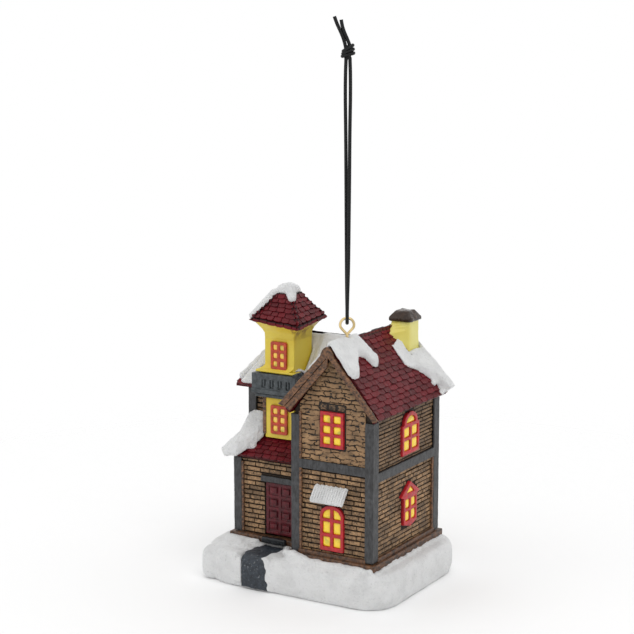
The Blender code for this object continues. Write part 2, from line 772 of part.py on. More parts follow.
def bank_outline(front, reach):
    """A snow bank's section against the sill, from its foot to its crest."""
    low = BASE_HEIGHT + GAP
    return [
        (front, low),
        (front, SILL_TOP),
        (front - reach * BANK_CREST, SILL_TOP),
        (front - reach * BANK_SHOULDER, (low + SILL_TOP) / 2),
        (front - reach, low),
    ]


def add_banks():
    """The snow banked against the sill in front of the main block and the wing."""
    main_front = MAIN_FRONT - SILL_PROUD - GAP
    main_bank = [bank_outline(main_front, MAIN_BANK_REACH)]
    plate("front_snow_bank", "X", main_bank, MAIN_LEFT, MAIN_RIGHT - POST_WIDTH, "snow_white")
    wing_bank = [bank_outline(PATH_REAR, WING_BANK_REACH)]
    step_left = PATH_MIDDLE - PATH_WIDTH / 2 - GAP
    plate("wing_snow_bank", "X", wing_bank, WING_LEFT, step_left, "snow_white")


def add_sill():
    """The brown sill course under all the walls."""
    left = WING_LEFT - SILL_PROUD
    right = MAIN_RIGHT + SILL_PROUD
    outline = [
        (left, WING_FRONT - SILL_PROUD),
        (MAIN_LEFT - SILL_PROUD, WING_FRONT - SILL_PROUD),
        (MAIN_LEFT - SILL_PROUD, MAIN_FRONT - SILL_PROUD),
        (right, MAIN_FRONT - SILL_PROUD),
        (right, MAIN_REAR + SILL_PROUD),
        (MAIN_LEFT - SILL_PROUD, MAIN_REAR + SILL_PROUD),
        (MAIN_LEFT - SILL_PROUD, WING_REAR + SILL_PROUD),
        (left, WING_REAR + SILL_PROUD),
    ]
    inside = rectangle(
        WALL_LEFT + WALL_THICKNESS,
        WALL_FRONT + WALL_THICKNESS,
        WALL_RIGHT - WALL_THICKNESS,
        WALL_REAR - WALL_THICKNESS,
    )
    plate("ground_sill", "Z", [outline, inside], SILL_BOTTOM, SILL_TOP, "wood_brown")


def gable_top(x):
    """The height of the gable wall's slope at x."""
    return WALL_TOP + (WALL_RIGHT - RIDGE_X - abs(x - RIDGE_X)) * ROOF_RISE


def roof_top(x):
    """The height of the main roof's outer face at x."""
    return RIDGE_TOP - abs(x - RIDGE_X) * ROOF_RISE


def foot_point(x, lift):
    """The point square to the main roof's slope from its outer face at x, at a distance above it."""
    side = 1 if x > RIDGE_X else -1
    return (x + side * lift * sin(ROOF_PITCH), roof_top(x) + lift * cos(ROOF_PITCH))


def joint_outline(inner, outer, front, rear, has_front):
    """The outline of one joint round a wall's front, outer side and rear, open towards its inner end."""
    side = 1 if outer > inner else -1
    end = inner - side * CUT_OVER
    clear = outer + side * CUT_OVER
    bottom = outer - side * JOINT_DEPTH
    rear_part = [(end, rear + CUT_OVER), (end, rear - JOINT_DEPTH), (bottom, rear - JOINT_DEPTH)]
    if has_front:
        front_part = [(end, front - CUT_OVER), (clear, front - CUT_OVER), (clear, rear + CUT_OVER)]
        return front_part + rear_part + [(bottom, front + JOINT_DEPTH), (end, front + JOINT_DEPTH)]
    start = front + POST_SIDE_WIDTH / 2
    return [(bottom, start), (clear, start), (clear, rear + CUT_OVER)] + rear_part


def cut_joints(walls, outline, low, high):
    """Cut the joints between the courses of bricks that lie between two heights."""
    first = max(1, ceil((low + JOINT_HEIGHT - WALL_BOTTOM) / BRICK_COURSE))
    last = floor((high - JOINT_HEIGHT - WALL_BOTTOM) / BRICK_COURSE)
    joint = plate_mesh(walls.name + "_joint", [outline], JOINT_HEIGHT)
    joints = bmesh.new()
    joint.transform(Matrix.Translation((0, 0, WALL_BOTTOM + first * BRICK_COURSE)))
    for _course in range(first, last + 1):
        joints.from_mesh(joint)
        joint.transform(Matrix.Translation((0, 0, BRICK_COURSE)))
    bpy.data.meshes.remove(joint)
    name = f"{walls.name}_joints_{first}"
    cut(walls, store(name, mesh_from(name, joints), None, cutters))


def add_main_walls():
    """The main block: a hollow brick shell with front and rear gables, open to the wing."""
    gable = [
        (WALL_LEFT, WALL_BOTTOM),
        (WALL_RIGHT, WALL_BOTTOM),
        (WALL_RIGHT, WALL_TOP),
        (RIDGE_X, gable_top(RIDGE_X)),
        (WALL_LEFT, WALL_TOP),
    ]
    walls = plate("main_walls", "Y", [gable], WALL_FRONT, WALL_REAR, "brick_tan")
    low = (WALL_LEFT + WALL_THICKNESS, WALL_FRONT + WALL_THICKNESS, WALL_BOTTOM - CUT_OVER)
    high = (WALL_RIGHT - WALL_THICKNESS, WALL_REAR - WALL_THICKNESS, RIDGE_TOP + CUT_OVER)
    cut(walls, box("main_room", low, high, collection=cutters))
    passage_low = (WALL_LEFT - CUT_OVER, WING_UPPER_FRONT, WALL_BOTTOM + WALL_THICKNESS)
    passage_high = (WALL_LEFT + CUT_OVER, WING_WALL_REAR - WALL_THICKNESS, WING_WALL_TOP - CUT_OVER)
    cut(walls, box("wing_passage", passage_low, passage_high, collection=cutters))
    storey = WALL_BOTTOM + FRONT_BEAM_RISE
    top = RIDGE_UNDER - WALL_THICKNESS
    for low, high, has_front in ((WALL_BOTTOM, storey, True), (storey, top, False)):
        outline = joint_outline(WALL_LEFT, WALL_RIGHT, WALL_FRONT, WALL_REAR, has_front)
        cut_joints(walls, outline, low, high)
    return walls


def porch_under(y):
    """The height of the porch roof's underside at y."""
    return PORCH_WALL_TOP + GAP / cos(PORCH_PITCH) + (y - WING_WALL_FRONT) * tan(PORCH_PITCH)


def add_wing_walls(main_envelope):
    """The wing's lower walls, with their porch cheeks, and its set-back upper walls."""
    cheek_rear = WING_UPPER_FRONT - GAP
    section = [
        (WING_WALL_FRONT, WALL_BOTTOM),
        (WING_WALL_REAR, WALL_BOTTOM),
        (WING_WALL_REAR, WING_LOWER_TOP),
        (cheek_rear, WING_LOWER_TOP),
        (cheek_rear, porch_under(cheek_rear) - GAP / cos(PORCH_PITCH)),
        (WING_WALL_FRONT, PORCH_WALL_TOP),
    ]
    lower = plate("wing_lower_walls", "X", [section], WING_WALL_LEFT, WING_END, "brick_tan")
    upper_low = (WING_WALL_LEFT, WING_UPPER_WALL_FRONT, WING_LOWER_TOP + GAP)
    upper = box("wing_upper_walls", upper_low, (WING_END, WING_WALL_REAR, WING_WALL_TOP), "brick_tan")
    for walls, front in ((lower, WING_WALL_FRONT), (upper, WING_UPPER_WALL_FRONT)):
        low = (WING_WALL_LEFT + WALL_THICKNESS, front + WALL_THICKNESS, WALL_BOTTOM - CUT_OVER)
        high = (WING_END + CUT_OVER, WING_WALL_REAR - WALL_THICKNESS, WING_WALL_TOP + CUT_OVER)
        cut(walls, box(walls.name + "_room", low, high, collection=cutters))
        outline = joint_outline(WING_END, WING_WALL_LEFT, front, WING_WALL_REAR, True)
        bottom = WALL_BOTTOM if walls is lower else WING_LOWER_TOP + GAP
        cut_joints(walls, outline, bottom, WING_LOWER_TOP if walls is lower else WING_WALL_TOP)
    cut(upper, main_envelope)
    sill = WALL_BOTTOM + BAY_WINDOW_SILL
    bay_low = (TOWER_LEFT + TOWER_WALL, WING_UPPER_FRONT - CUT_OVER, sill)
    bay_high = (TOWER_RIGHT - TOWER_WALL, WING_UPPER_FRONT + CUT_OVER, sill + BAY_WINDOW_HEIGHT)
    cut(upper, box("bay_passage", bay_low, bay_high, collection=cutters))
    return lower


def main_solid_outline(grow):
    """The main block's gable outline with its roof, set outward by grow."""
    rise = grow / cos(ROOF_PITCH)
    left = ROOF_LEFT - grow
    right = ROOF_RIGHT + grow
    return [
        (WALL_LEFT - grow, WALL_BOTTOM - CUT_OVER),
        (WALL_RIGHT + grow, WALL_BOTTOM - CUT_OVER),
        (WALL_RIGHT + grow, roof_top(WALL_RIGHT + grow) - ROOF_DEPTH - rise),
        foot_point(right, -ROOF_THICKNESS - grow),
        foot_point(right, grow),
        (RIDGE_X, RIDGE_TOP + rise),
        foot_point(left, grow),
        foot_point(left, -ROOF_THICKNESS - grow),
        (WALL_LEFT - grow, roof_top(WALL_LEFT - grow) - ROOF_DEPTH - rise),
    ]


def corner_outline(x, y, inward_x, inward_y, width, side_width):
    """An angle-shaped post round a wall's outer corner."""
    thick = FINISH_PROUD
    return [
        (x, y),
        (x + inward_x * width, y),
        (x + inward_x * width, y + inward_y * thick),
        (x + inward_x * thick, y + inward_y * thick),
        (x + inward_x * thick, y + inward_y * side_width),
        (x, y + inward_y * side_width),
    ]


def add_timber_frames():
    """The grey timbers: the main block's posts and beams, and those of the wing."""
    low = WALL_BOTTOM
    main_top = gable_top(MAIN_LEFT + POST_WIDTH) - POST_WIDTH * ROOF_RISE
    lap = POST_WIDTH / 2
    front = MAIN_FRONT + lap
    rear = MAIN_REAR - lap
    left = MAIN_LEFT + lap
    right = MAIN_RIGHT - lap
    main_posts = (
        (MAIN_LEFT, MAIN_FRONT, 1, 1, low, main_top),
        (MAIN_RIGHT, MAIN_FRONT, -1, 1, low, main_top),
        (MAIN_RIGHT, MAIN_REAR, -1, -1, low, main_top),
        (MAIN_LEFT, MAIN_REAR, 1, -1, low, main_top),
    )
    main_beams = (
        (left, MAIN_FRONT, right, MAIN_FRONT + FINISH_PROUD, FRONT_BEAM_RISE),
        (MAIN_RIGHT - FINISH_PROUD, front, MAIN_RIGHT, rear, SIDE_BEAM_RISE),
        (left, MAIN_REAR - FINISH_PROUD, right, MAIN_REAR, SIDE_BEAM_RISE),
    )
    join_timbers("main_timber_frame", main_posts, main_beams)
    upper_low = WING_LOWER_TOP + GAP
    wing_posts = (
        (WING_LEFT, WING_UPPER_FRONT, 1, 1, upper_low, WING_WALL_TOP),
        (WING_LEFT, WING_REAR, 1, -1, low, WING_WALL_TOP),
    )
    wing_rise = WING_LOWER_HEIGHT + WING_BEAM_LIFT
    wing_beam = (WING_LEFT, WING_UPPER_FRONT + lap, WING_LEFT + FINISH_PROUD, WING_REAR - lap, wing_rise)
    join_timbers("wing_timber_frame", wing_posts, (wing_beam,))
    outline = corner_outline(WING_LEFT, WING_FRONT, 1, 1, POST_WIDTH, POST_SIDE_WIDTH)
    plate("porch_post", "Z", [outline], low, PORCH_WALL_TOP - GAP, "timber_grey")


def join_timbers(name, posts, beams):
    """Corner posts and the beams between them, joined into one frame."""
    frame = None
    for number, (x, y, inward_x, inward_y, bottom, top) in enumerate(posts):
        outline = corner_outline(x, y, inward_x, inward_y, POST_WIDTH, POST_SIDE_WIDTH)
        if frame is None:
            frame = plate(name, "Z", [outline], bottom, top, "timber_grey")
            continue
        post_name = name + "_post_" + str(number)
        cut(frame, plate(post_name, "Z", [outline], bottom, top, collection=cutters), "UNION")
    for number, (low_x, low_y, high_x, high_y, rise) in enumerate(beams):
        middle = WALL_BOTTOM + rise
        low = (low_x, low_y, middle - BEAM_HEIGHT / 2)
        high = (high_x, high_y, middle + BEAM_HEIGHT / 2)
        cut(frame, box(name + "_beam_" + str(number), low, high, collection=cutters), "UNION")


def chevron(low, high, left, right):
    """A folded section between two distances above the main roof's face, cut square at its feet."""
    low_rise = low / cos(ROOF_PITCH)
    high_rise = high / cos(ROOF_PITCH)
    return [
        foot_point(left, low),
        (RIDGE_X, RIDGE_TOP + low_rise),
        foot_point(right, low),
        foot_point(right, high),
        (RIDGE_X, RIDGE_TOP + high_rise),
        foot_point(left, high),
    ]


def add_main_roof():
    """The main roof, folded at its ridge, with the hole of the eye's shank."""
    section = chevron(-ROOF_THICKNESS, 0.0, ROOF_LEFT, ROOF_RIGHT)
    roof = plate("main_roof", "Y", [section], VERGE_FRONT, VERGE_REAR, "roof_burgundy")
    cut(roof, eye_hole())


def eye_hole():
    """The cutter of the hole that the hanging eye's shank goes into."""
    name = "eye_hole"
    if name in bpy.data.objects:
        return bpy.data.objects[name]
    top = EYE_RING_HEIGHT
    low = RIDGE_TOP - EYE_SHANK_DEPTH - CUT_OVER
    radius = EYE_WIRE / 2 + GAP
    return cylinder(name, (RIDGE_X, EYE_Y), radius, low, top, collection=cutters)


def eye_slot():
    """The cutter of the slot in the snow that the foot of the eye's ring stands in."""
    reach = (EYE_RING + EYE_WIRE) / 2 + GAP
    half = EYE_WIRE / 2 + GAP
    low = (RIDGE_X - reach, EYE_Y - half, EYE_RING_HEIGHT - reach)
    high = (RIDGE_X + reach, EYE_Y + half, EYE_RING_HEIGHT)
    slot = box("eye_slot", low, high, collection=cutters)
    slot.rotation_euler = (0.0, 0.0, EYE_TURN)
    return slot


def board_outline(side, width):
    """A bargeboard's outline down one slope: side is -1 for left, 1 for right."""
    start = RIDGE_X + side * GAP / 2
    end = ROOF_RIGHT if side > 0 else ROOF_LEFT
    drop = width / cos(ROOF_PITCH)
    return [
        (start, roof_top(start)),
        (end, roof_top(end)),
        foot_point(end, -width),
        (start, roof_top(start) - drop),
    ]


def add_bargeboards():
    """The brown boards under both verges: a wide grooved one, a narrow one and the rear pair."""
    near = VERGE_FRONT - GAP
    far = near - BARGEBOARD_THICKNESS
    left_outline = board_outline(-1, LEFT_BARGEBOARD_WIDTH)
    left = plate("left_bargeboard", "Y", [left_outline], far, near, "wood_brown")
    groove = chevron(
        -(LEFT_BARGEBOARD_WIDTH + BARGEBOARD_GROOVE) / 2,
        -(LEFT_BARGEBOARD_WIDTH - BARGEBOARD_GROOVE) / 2,
        ROOF_LEFT - CUT_OVER,
        ROOF_RIGHT,
    )
    depth = far + BARGEBOARD_GROOVE
    cut(left, plate("board_groove", "Y", [groove], far - CUT_OVER, depth, collection=cutters))
    right_outline = board_outline(1, RIGHT_BARGEBOARD_WIDTH)
    plate("right_bargeboard", "Y", [right_outline], far, near, "wood_brown")
    rear = chevron(-REAR_BARGEBOARD_WIDTH, 0.0, ROOF_LEFT, ROOF_RIGHT)
    rear_near = VERGE_REAR + GAP
    plate("rear_bargeboard", "Y", [rear], rear_near, rear_near + BARGEBOARD_THICKNESS, "wood_brown")


def add_wing_roof(spaces):
    """The wing's hipped roof, notched for the tower and the balcony."""
    run = WING_ROOF_RUN
    eave = rectangle(WING_ROOF_LEFT, WING_ROOF_FRONT, RIDGE_X, WING_ROOF_REAR)
    ridge = rectangle(WING_ROOF_LEFT + run, WING_ROOF_FRONT + run, RIDGE_X, WING_ROOF_REAR - run)
    rings = [
        at_height(eave, WING_WALL_TOP + GAP),
        at_height(eave, WING_EAVE_TOP),
        at_height(ridge, WING_EAVE_TOP + run * ROOF_RISE),
    ]
    roof = loft("wing_roof", rings, "roof_burgundy")
    for space in spaces:
        cut(roof, space)


def add_porch_roof():
    """The lean-to roof over the door."""
    head = WING_UPPER_FRONT - GAP
    section = [
        (PORCH_EAVE, porch_under(PORCH_EAVE)),
        (head, porch_under(head)),
        (head, porch_under(head) + PORCH_DEPTH_UP),
        (PORCH_EAVE, porch_under(PORCH_EAVE) + PORCH_DEPTH_UP),
    ]
    plate("porch_roof", "X", [section], WING_LEFT - PORCH_EAVE_OVERHANG, WING_END, "roof_burgundy")


def add_tower():
    """The yellow tower: a bay below the balcony and a room above it."""
    floor_low = BALCONY_BOTTOM - GAP - BALCONY_FLOOR_THICKNESS
    bay_rear = WING_UPPER_WALL_FRONT - GAP
    outline = [
        (TOWER_LEFT, TOWER_FRONT),
        (TOWER_RIGHT, TOWER_FRONT),
        (TOWER_RIGHT, bay_rear),
        (TOWER_RIGHT - TOWER_WALL, bay_rear),
        (TOWER_RIGHT - TOWER_WALL, TOWER_FRONT + TOWER_WALL),
        (TOWER_LEFT + TOWER_WALL, TOWER_FRONT + TOWER_WALL),
        (TOWER_LEFT + TOWER_WALL, bay_rear),
        (TOWER_LEFT, bay_rear),
    ]
    bay = plate("tower_bay", "Z", [outline], PORCH_WALL_TOP, floor_low - GAP, "wall_yellow")
    depth = PORCH_DEPTH_UP + GAP / cos(PORCH_PITCH)
    under = [
        (WING_FRONT, porch_under(WING_FRONT) - CUT_OVER),
        (TOWER_REAR, porch_under(WING_FRONT) - CUT_OVER),
        (TOWER_REAR, porch_under(TOWER_REAR) + depth),
        (WING_FRONT, porch_under(WING_FRONT) + depth),
    ]
    cut(bay, plate("bay_foot", "X", [under], WING_LEFT, MAIN_LEFT, collection=cutters))
    rings = [square(TOWER_SIDE), square(TOWER_SIDE - 2 * TOWER_WALL)]
    room = plate("tower_room", "Z", rings, TOWER_BOTTOM, TOWER_TOP, "wall_yellow")
    return bay, room


def balcony_outline(inset):
    """The balcony's outline round the tower's front, drawn in by inset on its free sides."""
    left = TOWER_LEFT - BALCONY_LEFT_REACH + inset
    right = TOWER_RIGHT + BALCONY_RIGHT_REACH - inset
    front = BALCONY_FRONT + inset
    return [
        (left, front),
        (right, front),
        (right, BALCONY_REAR),
        (TOWER_RIGHT + GAP, BALCONY_REAR),
        (TOWER_RIGHT + GAP, TOWER_FRONT - GAP),
        (TOWER_LEFT - GAP, TOWER_FRONT - GAP),
        (TOWER_LEFT - GAP, BALCONY_REAR),
        (left, BALCONY_REAR),
    ]


def add_balcony():
    """The balcony: its parapet with carved slots, the floor below and the deck on top."""
    outline = balcony_outline(0.0)
    parapet = plate("balcony_parapet", "Z", [outline], BALCONY_BOTTOM, BALCONY_TOP, "slate_grey")
    slots = []
    middle = (BALCONY_BOTTOM + BALCONY_TOP) / 2
    for number in range(SLOT_COUNT):
        centre = TOWER_X + (number - (SLOT_COUNT - 1) / 2) * SLOT_PITCH
        low = middle - SLOT_HEIGHT / 2
        slots.append(rectangle(centre - SLOT_WIDTH / 2, low, centre + SLOT_WIDTH / 2, low + SLOT_HEIGHT))
    start = BALCONY_FRONT - CUT_OVER
    end = BALCONY_FRONT + SLOT_DEPTH
    cut(parapet, plate("parapet_slots", "Y", slots, start, end, collection=cutters))
    floor_top = BALCONY_BOTTOM - GAP
    floor_left = TOWER_LEFT - BALCONY_LEFT_REACH + BALCONY_FLOOR_INSET
    floor_right = TOWER_RIGHT + BALCONY_RIGHT_REACH - BALCONY_FLOOR_INSET
    floor_low = floor_top - BALCONY_FLOOR_THICKNESS
    box(
        "balcony_floor",
        (floor_left, BALCONY_FRONT + BALCONY_FLOOR_INSET, floor_low),
        (floor_right, BALCONY_REAR, floor_top),
        "slate_grey",
    )
    deck_low = BALCONY_TOP + GAP
    deck = [balcony_outline(BALCONY_FLOOR_INSET)]
    plate("balcony_deck", "Z", deck, deck_low, deck_low + DECK_THICKNESS, "wall_yellow")


def room_cutters():
    """The spaces that the tower and the balcony need in the wing's roof and its snow."""
    tower_low = (TOWER_LEFT - GAP, TOWER_FRONT - GAP, WING_WALL_TOP - CUT_OVER)
    tower_high = (TOWER_RIGHT + GAP, TOWER_REAR + GAP, TOWER_TOP + CUT_OVER)
    tower_space = box("tower_space", tower_low, tower_high, collection=cutters)
    deck_top = BALCONY_TOP + GAP + DECK_THICKNESS + GAP
    left = TOWER_LEFT - BALCONY_LEFT_REACH - GAP
    right = TOWER_RIGHT + BALCONY_RIGHT_REACH + GAP
    balcony_low = (left, BALCONY_FRONT - GAP, WING_WALL_TOP - CUT_OVER)
    balcony_high = (right, BALCONY_REAR + GAP, deck_top)
    balcony_space = box("balcony_space", balcony_low, balcony_high, collection=cutters)
    return tower_space, balcony_space


def square(side):
    """A square outline about the tower's axis."""
    half = side / 2
    return rectangle(TOWER_X - half, TOWER_Y - half, TOWER_X + half, TOWER_Y + half)


def add_tower_roof():
    """The flared cornice, the steep tower roof and its cap of snow."""
    cornice_low = TOWER_TOP + GAP
    cornice_top = cornice_low + CORNICE_HEIGHT
    wide = TOWER_SIDE + 2 * CORNICE_FLARE
    loft(
        "tower_cornice",
        [at_height(square(TOWER_SIDE), cornice_low), at_height(square(wide), cornice_top)],
        "wall_yellow",
    )
    eave = cornice_top + GAP
    edge_top = eave + TOWER_ROOF_EDGE
    roof_peak = edge_top + TOWER_ROOF_HEIGHT
    narrow = TOWER_ROOF_SIDE - TOWER_ROOF_EDGE
    rings = [
        at_height(square(narrow), eave),
        at_height(square(TOWER_ROOF_SIDE), edge_top),
        at_height(square(TOWER_ROOF_TOP_SIDE), roof_peak),
    ]
    loft("tower_roof", rings, "roof_burgundy")
    cap_side = TOWER_ROOF_TOP_SIDE + 2 * TOWER_CAP_OVER
    low = roof_peak + GAP
    cap = []
    for share, width in TOWER_CAP_RINGS:
        half = cap_side * width / 2
        outline = rounded_rectangle(half, half, (half * TOWER_CAP_ROUND,) * 4)
        placed = [(x + TOWER_X, y + TOWER_Y) for x, y in outline]
        cap.append(at_height(placed, low + share * TOWER_CAP_HEIGHT))
    loft("tower_snow_cap", cap, "snow_white")


def add_windows(walls, bay, room):
    """All the windows that show: two in front, two on the right and two in the tower."""
    side_y = MAIN_FRONT + SIDE_WINDOW_SETBACK
    floor = WALL_BOTTOM
    front_lower = (RIDGE_X, floor + FRONT_LOWER_SILL, FRONT_WINDOW_WIDTH, FRONT_LOWER_HEIGHT)
    front_upper = (RIDGE_X, floor + FRONT_UPPER_SILL, FRONT_WINDOW_WIDTH, FRONT_UPPER_HEIGHT)
    side_lower = (side_y, floor + SIDE_LOWER_SILL, SIDE_WINDOW_WIDTH, SIDE_LOWER_HEIGHT)
    side_upper = (side_y, floor + SIDE_UPPER_SILL, SIDE_WINDOW_WIDTH, SIDE_UPPER_HEIGHT)
    tower = (TOWER_X, TOWER_BOTTOM + TOWER_WINDOW_SILL, TOWER_WINDOW_WIDTH, TOWER_WINDOW_HEIGHT)
    bay_size = (TOWER_X, floor + BAY_WINDOW_SILL, BAY_WINDOW_WIDTH, BAY_WINDOW_HEIGHT)
    flat = ("flat", 0.0)
    front_arch = ("arch", FRONT_LOWER_ARCH)
    side_arch = ("arch", SIDE_UPPER_ARCH)
    peak = ("peak", SIDE_LOWER_PEAK)
    add_window("front_lower_window", walls, "Y", WALL_FRONT, -1, front_lower, front_arch, 3, "frame_red")
    add_window("front_upper_window", walls, "Y", WALL_FRONT, -1, front_upper, flat, 3, "frame_red")
    add_window("side_lower_window", walls, "X", WALL_RIGHT, 1, side_lower, peak, 3, "frame_red")
    add_window("side_upper_window", walls, "X", WALL_RIGHT, 1, side_upper, side_arch, 2, "frame_red")
    add_window("tower_window", room, "Y", TOWER_FRONT, -1, tower, flat, 3, "frame_orange")
    add_window("bay_window", bay, "Y", TOWER_FRONT, -1, bay_size, flat, 3, "frame_orange")


def add_door(lower_walls):
    """The panelled door in the wing's front wall and the lintel over it."""
    right = DOOR_LEFT + DOOR_WIDTH
    low = WALL_BOTTOM + GAP
    top = low + DOOR_HEIGHT
    face = WING_WALL_FRONT
    opening_low = (DOOR_LEFT - GAP, face - CUT_OVER, WALL_BOTTOM - CUT_OVER)
    opening_high = (right + GAP, face + WALL_THICKNESS + CUT_OVER, top + GAP)
    cut(lower_walls, box("door_opening", opening_low, opening_high, collection=cutters))
    door = box("front_door", (DOOR_LEFT, face, low), (right, face + DOOR_THICKNESS, top), "door_burgundy")
    panels = pane_holes(DOOR_MIDDLE, low, DOOR_WIDTH, DOOR_HEIGHT, 2, 4, FRAME_BAR)
    depth = face + DOOR_PANEL_DEPTH
    cut(door, plate("door_panels", "Y", panels, face - CUT_OVER, depth, collection=cutters))
    lintel_low = top + GAP
    box(
        "door_lintel",
        (DOOR_LEFT - LINTEL_REACH, WING_FRONT, lintel_low),
        (right + LINTEL_REACH, WING_FRONT + FINISH_PROUD, lintel_low + LINTEL_HEIGHT),
        "timber_grey",
    )


def add_awning():
    """The ribbed white awning over the lower front window."""
    length = (AWNING_REACH ** 2 + AWNING_DROP ** 2) ** 0.5
    top = WALL_BOTTOM + FRONT_LOWER_SILL + FRONT_LOWER_HEIGHT + AWNING_RISE
    down = Vector((0.0, -AWNING_REACH, -AWNING_DROP)) / length
    normal = Vector((0.0, -AWNING_DROP, AWNING_REACH)) / length
    turn = Matrix((Vector((1, 0, 0)), normal, down)).transposed().to_4x4()
    left = -AWNING_WIDTH / 2
    outline = [(-left, 0.0), (left, 0.0)]
    pitch = AWNING_WIDTH / AWNING_RIBS
    valley = AWNING_THICKNESS - AWNING_RIB_DEPTH
    for rib in range(AWNING_RIBS):
        for eighths, height in ((1, valley), (3, AWNING_THICKNESS), (5, AWNING_THICKNESS), (7, valley)):
            outline.append((left + (rib + eighths / 8) * pitch, height))
    awning = store("window_awning", plate_mesh("window_awning", [outline], length), "snow_white")
    place = Matrix.Translation((RIDGE_X, WALL_FRONT - GAP, top))
    awning.matrix_world = place @ turn @ Matrix.Translation((0, 0, length / 2))


def chimney_ring(grow, forward, height):
    """The chimney's outline, grown on all its sides but the rear and forward at its front left."""
    left = CHIMNEY_LEFT - grow
    right = CHIMNEY_LEFT + CHIMNEY_WIDTH + grow
    front = CHIMNEY_REAR - CHIMNEY_DEPTH - grow
    outline = [(left, front - forward), (right, front), (right, CHIMNEY_REAR), (left, CHIMNEY_REAR)]
    return at_height(outline, height)


def chimney_rings(grow):
    """The rings of the stack, from the bottom of its flared foot to its top."""
    right = CHIMNEY_LEFT + CHIMNEY_WIDTH
    foot = roof_top(right + CHIMNEY_FLARE) - CUT_OVER
    flared = CHIMNEY_FLARE + grow
    return [
        chimney_ring(flared, CHIMNEY_FORWARD_FLARE, foot),
        chimney_ring(flared, CHIMNEY_FORWARD_FLARE, roof_top(right)),
        chimney_ring(grow, 0.0, CHIMNEY_FLARE_TOP),
        chimney_ring(grow, 0.0, CHIMNEY_TOP),
    ]


def add_chimney(roof_space):
    """The yellow stack with its flared foot, cut to the roof, and its dark cap."""
    stack = loft("chimney_stack", chimney_rings(0.0), "wall_yellow")
    cut(stack, roof_space)
    cap_low = CHIMNEY_TOP + GAP
    middle_x = CHIMNEY_LEFT + CHIMNEY_WIDTH / 2
    middle_y = CHIMNEY_REAR - CHIMNEY_DEPTH / 2
    cap = []
    for inset, rise in ((0.0, 0.0), (0.0, CHIMNEY_CAP_EDGE), (CHIMNEY_CAP_TAPER, CHIMNEY_CAP_HEIGHT)):
        half_width = CHIMNEY_WIDTH / 2 + CHIMNEY_CAP_PROUD - inset
        half_depth = CHIMNEY_DEPTH / 2 + CHIMNEY_CAP_PROUD - inset
        outline = rectangle(
            middle_x - half_width, middle_y - half_depth, middle_x + half_width, middle_y + half_depth
        )
        cap.append(at_height(outline, cap_low + rise))
    obj = loft("chimney_cap", cap, "cap_brown")
    round_edges(obj, CHIMNEY_CAP_PROUD / 2)


def trim_to_plan(snow, plan):
    """Keep only the snow inside an outline seen from above."""
    low = WALL_TOP - CUT_OVER
    shape = plate(snow.name + "_plan", "Z", [plan], low, CHIMNEY_TOP + CUT_OVER, collection=cutters)
    cut(snow, shape, "INTERSECT")


def add_ridge_snow():
    """The snow over the front of the ridge, with its tongues down the right slope."""
    section = chevron(GAP, GAP + RIDGE_SNOW_THICKNESS, ROOF_LEFT, ROOF_RIGHT)
    snow = plate("ridge_snow", "Y", [section], VERGE_FRONT, VERGE_REAR, "snow_white")
    trim_to_plan(snow, [(RIDGE_X + right, VERGE_FRONT + behind) for right, behind in RIDGE_SNOW_EDGE])
    cut(snow, eye_hole())
    cut(snow, eye_slot())


def add_chimney_snow():
    """The drift round the chimney's foot, deepest at the rear corner of the eave."""
    top = RIDGE_X + CHIMNEY_SNOW_TOP
    middle = RIDGE_X + CHIMNEY_SNOW_MIDDLE
    rings = []
    for ahead, top_depth, middle_depth, eave_depth in CHIMNEY_SNOW_SECTIONS:
        section = [
            foot_point(top, GAP),
            foot_point(ROOF_RIGHT, GAP),
            foot_point(ROOF_RIGHT, GAP + eave_depth),
            foot_point(middle, GAP + middle_depth),
            foot_point(top, GAP + top_depth),
        ]
        rings.append([(x, VERGE_REAR - ahead, z) for x, z in section])
    snow = loft("chimney_snow", rings, "snow_white")
    trim_to_plan(snow, [(RIDGE_X + right, VERGE_REAR - ahead) for right, ahead in CHIMNEY_SNOW_EDGE])
    cut(snow, loft("chimney_space", chimney_rings(GAP), collection=cutters))


def add_wing_snow(spaces):
    """The snow on the wing's front slope, left of the tower and in the valley."""
    slope = Matrix.Translation((0.0, WING_ROOF_FRONT, WING_EAVE_TOP)) @ Matrix.Rotation(ROOF_PITCH, 4, "X")
    left_snow = [
        (WING_ROOF_LEFT + WING_SNOW_INSET, 0.0),
        (TOWER_X, 0.0),
        (TOWER_X, WING_SNOW_LENGTH),
        (TOWER_LEFT - WING_SNOW_THICKNESS, WING_SNOW_LENGTH),
    ]
    valley = rectangle(TOWER_X, VALLEY_SNOW_FOOT, RIDGE_X, WING_ROOF_RUN / cos(ROOF_PITCH))
    for name, outline in (("wing_snow", left_snow), ("valley_snow", valley)):
        snow = slab(name, [outline], slope, GAP, GAP + WING_SNOW_THICKNESS, "snow_white")
        for space in spaces:
            cut(snow, space)


def add_porch_snow():
    """The deep drift on the left of the porch roof, against the upper wall."""
    wall = WING_UPPER_FRONT - GAP
    lift = PORCH_DEPTH_UP + GAP / cos(PORCH_PITCH)
    rings = []
    for inset, reach, back, front_depth, rear_depth in PORCH_DRIFT:
        x = TOWER_LEFT - inset
        front = PORCH_EAVE - reach
        rear = wall - back
        shoulder = front + DRIFT_SHOULDER
        section = (
            (front, 0.0),
            (front, front_depth / 2),
            (shoulder, front_depth),
            (rear, rear_depth),
            (rear, 0.0),
        )
        rings.append([(x, y, porch_under(y) + lift + depth) for y, depth in section])
    loft("porch_snow", rings, "snow_white")


def eye_point(sideways, height):
    """A point in the plane of the eye's ring."""
    return Vector((RIDGE_X + sideways * cos(EYE_TURN), EYE_Y + sideways * sin(EYE_TURN), height))


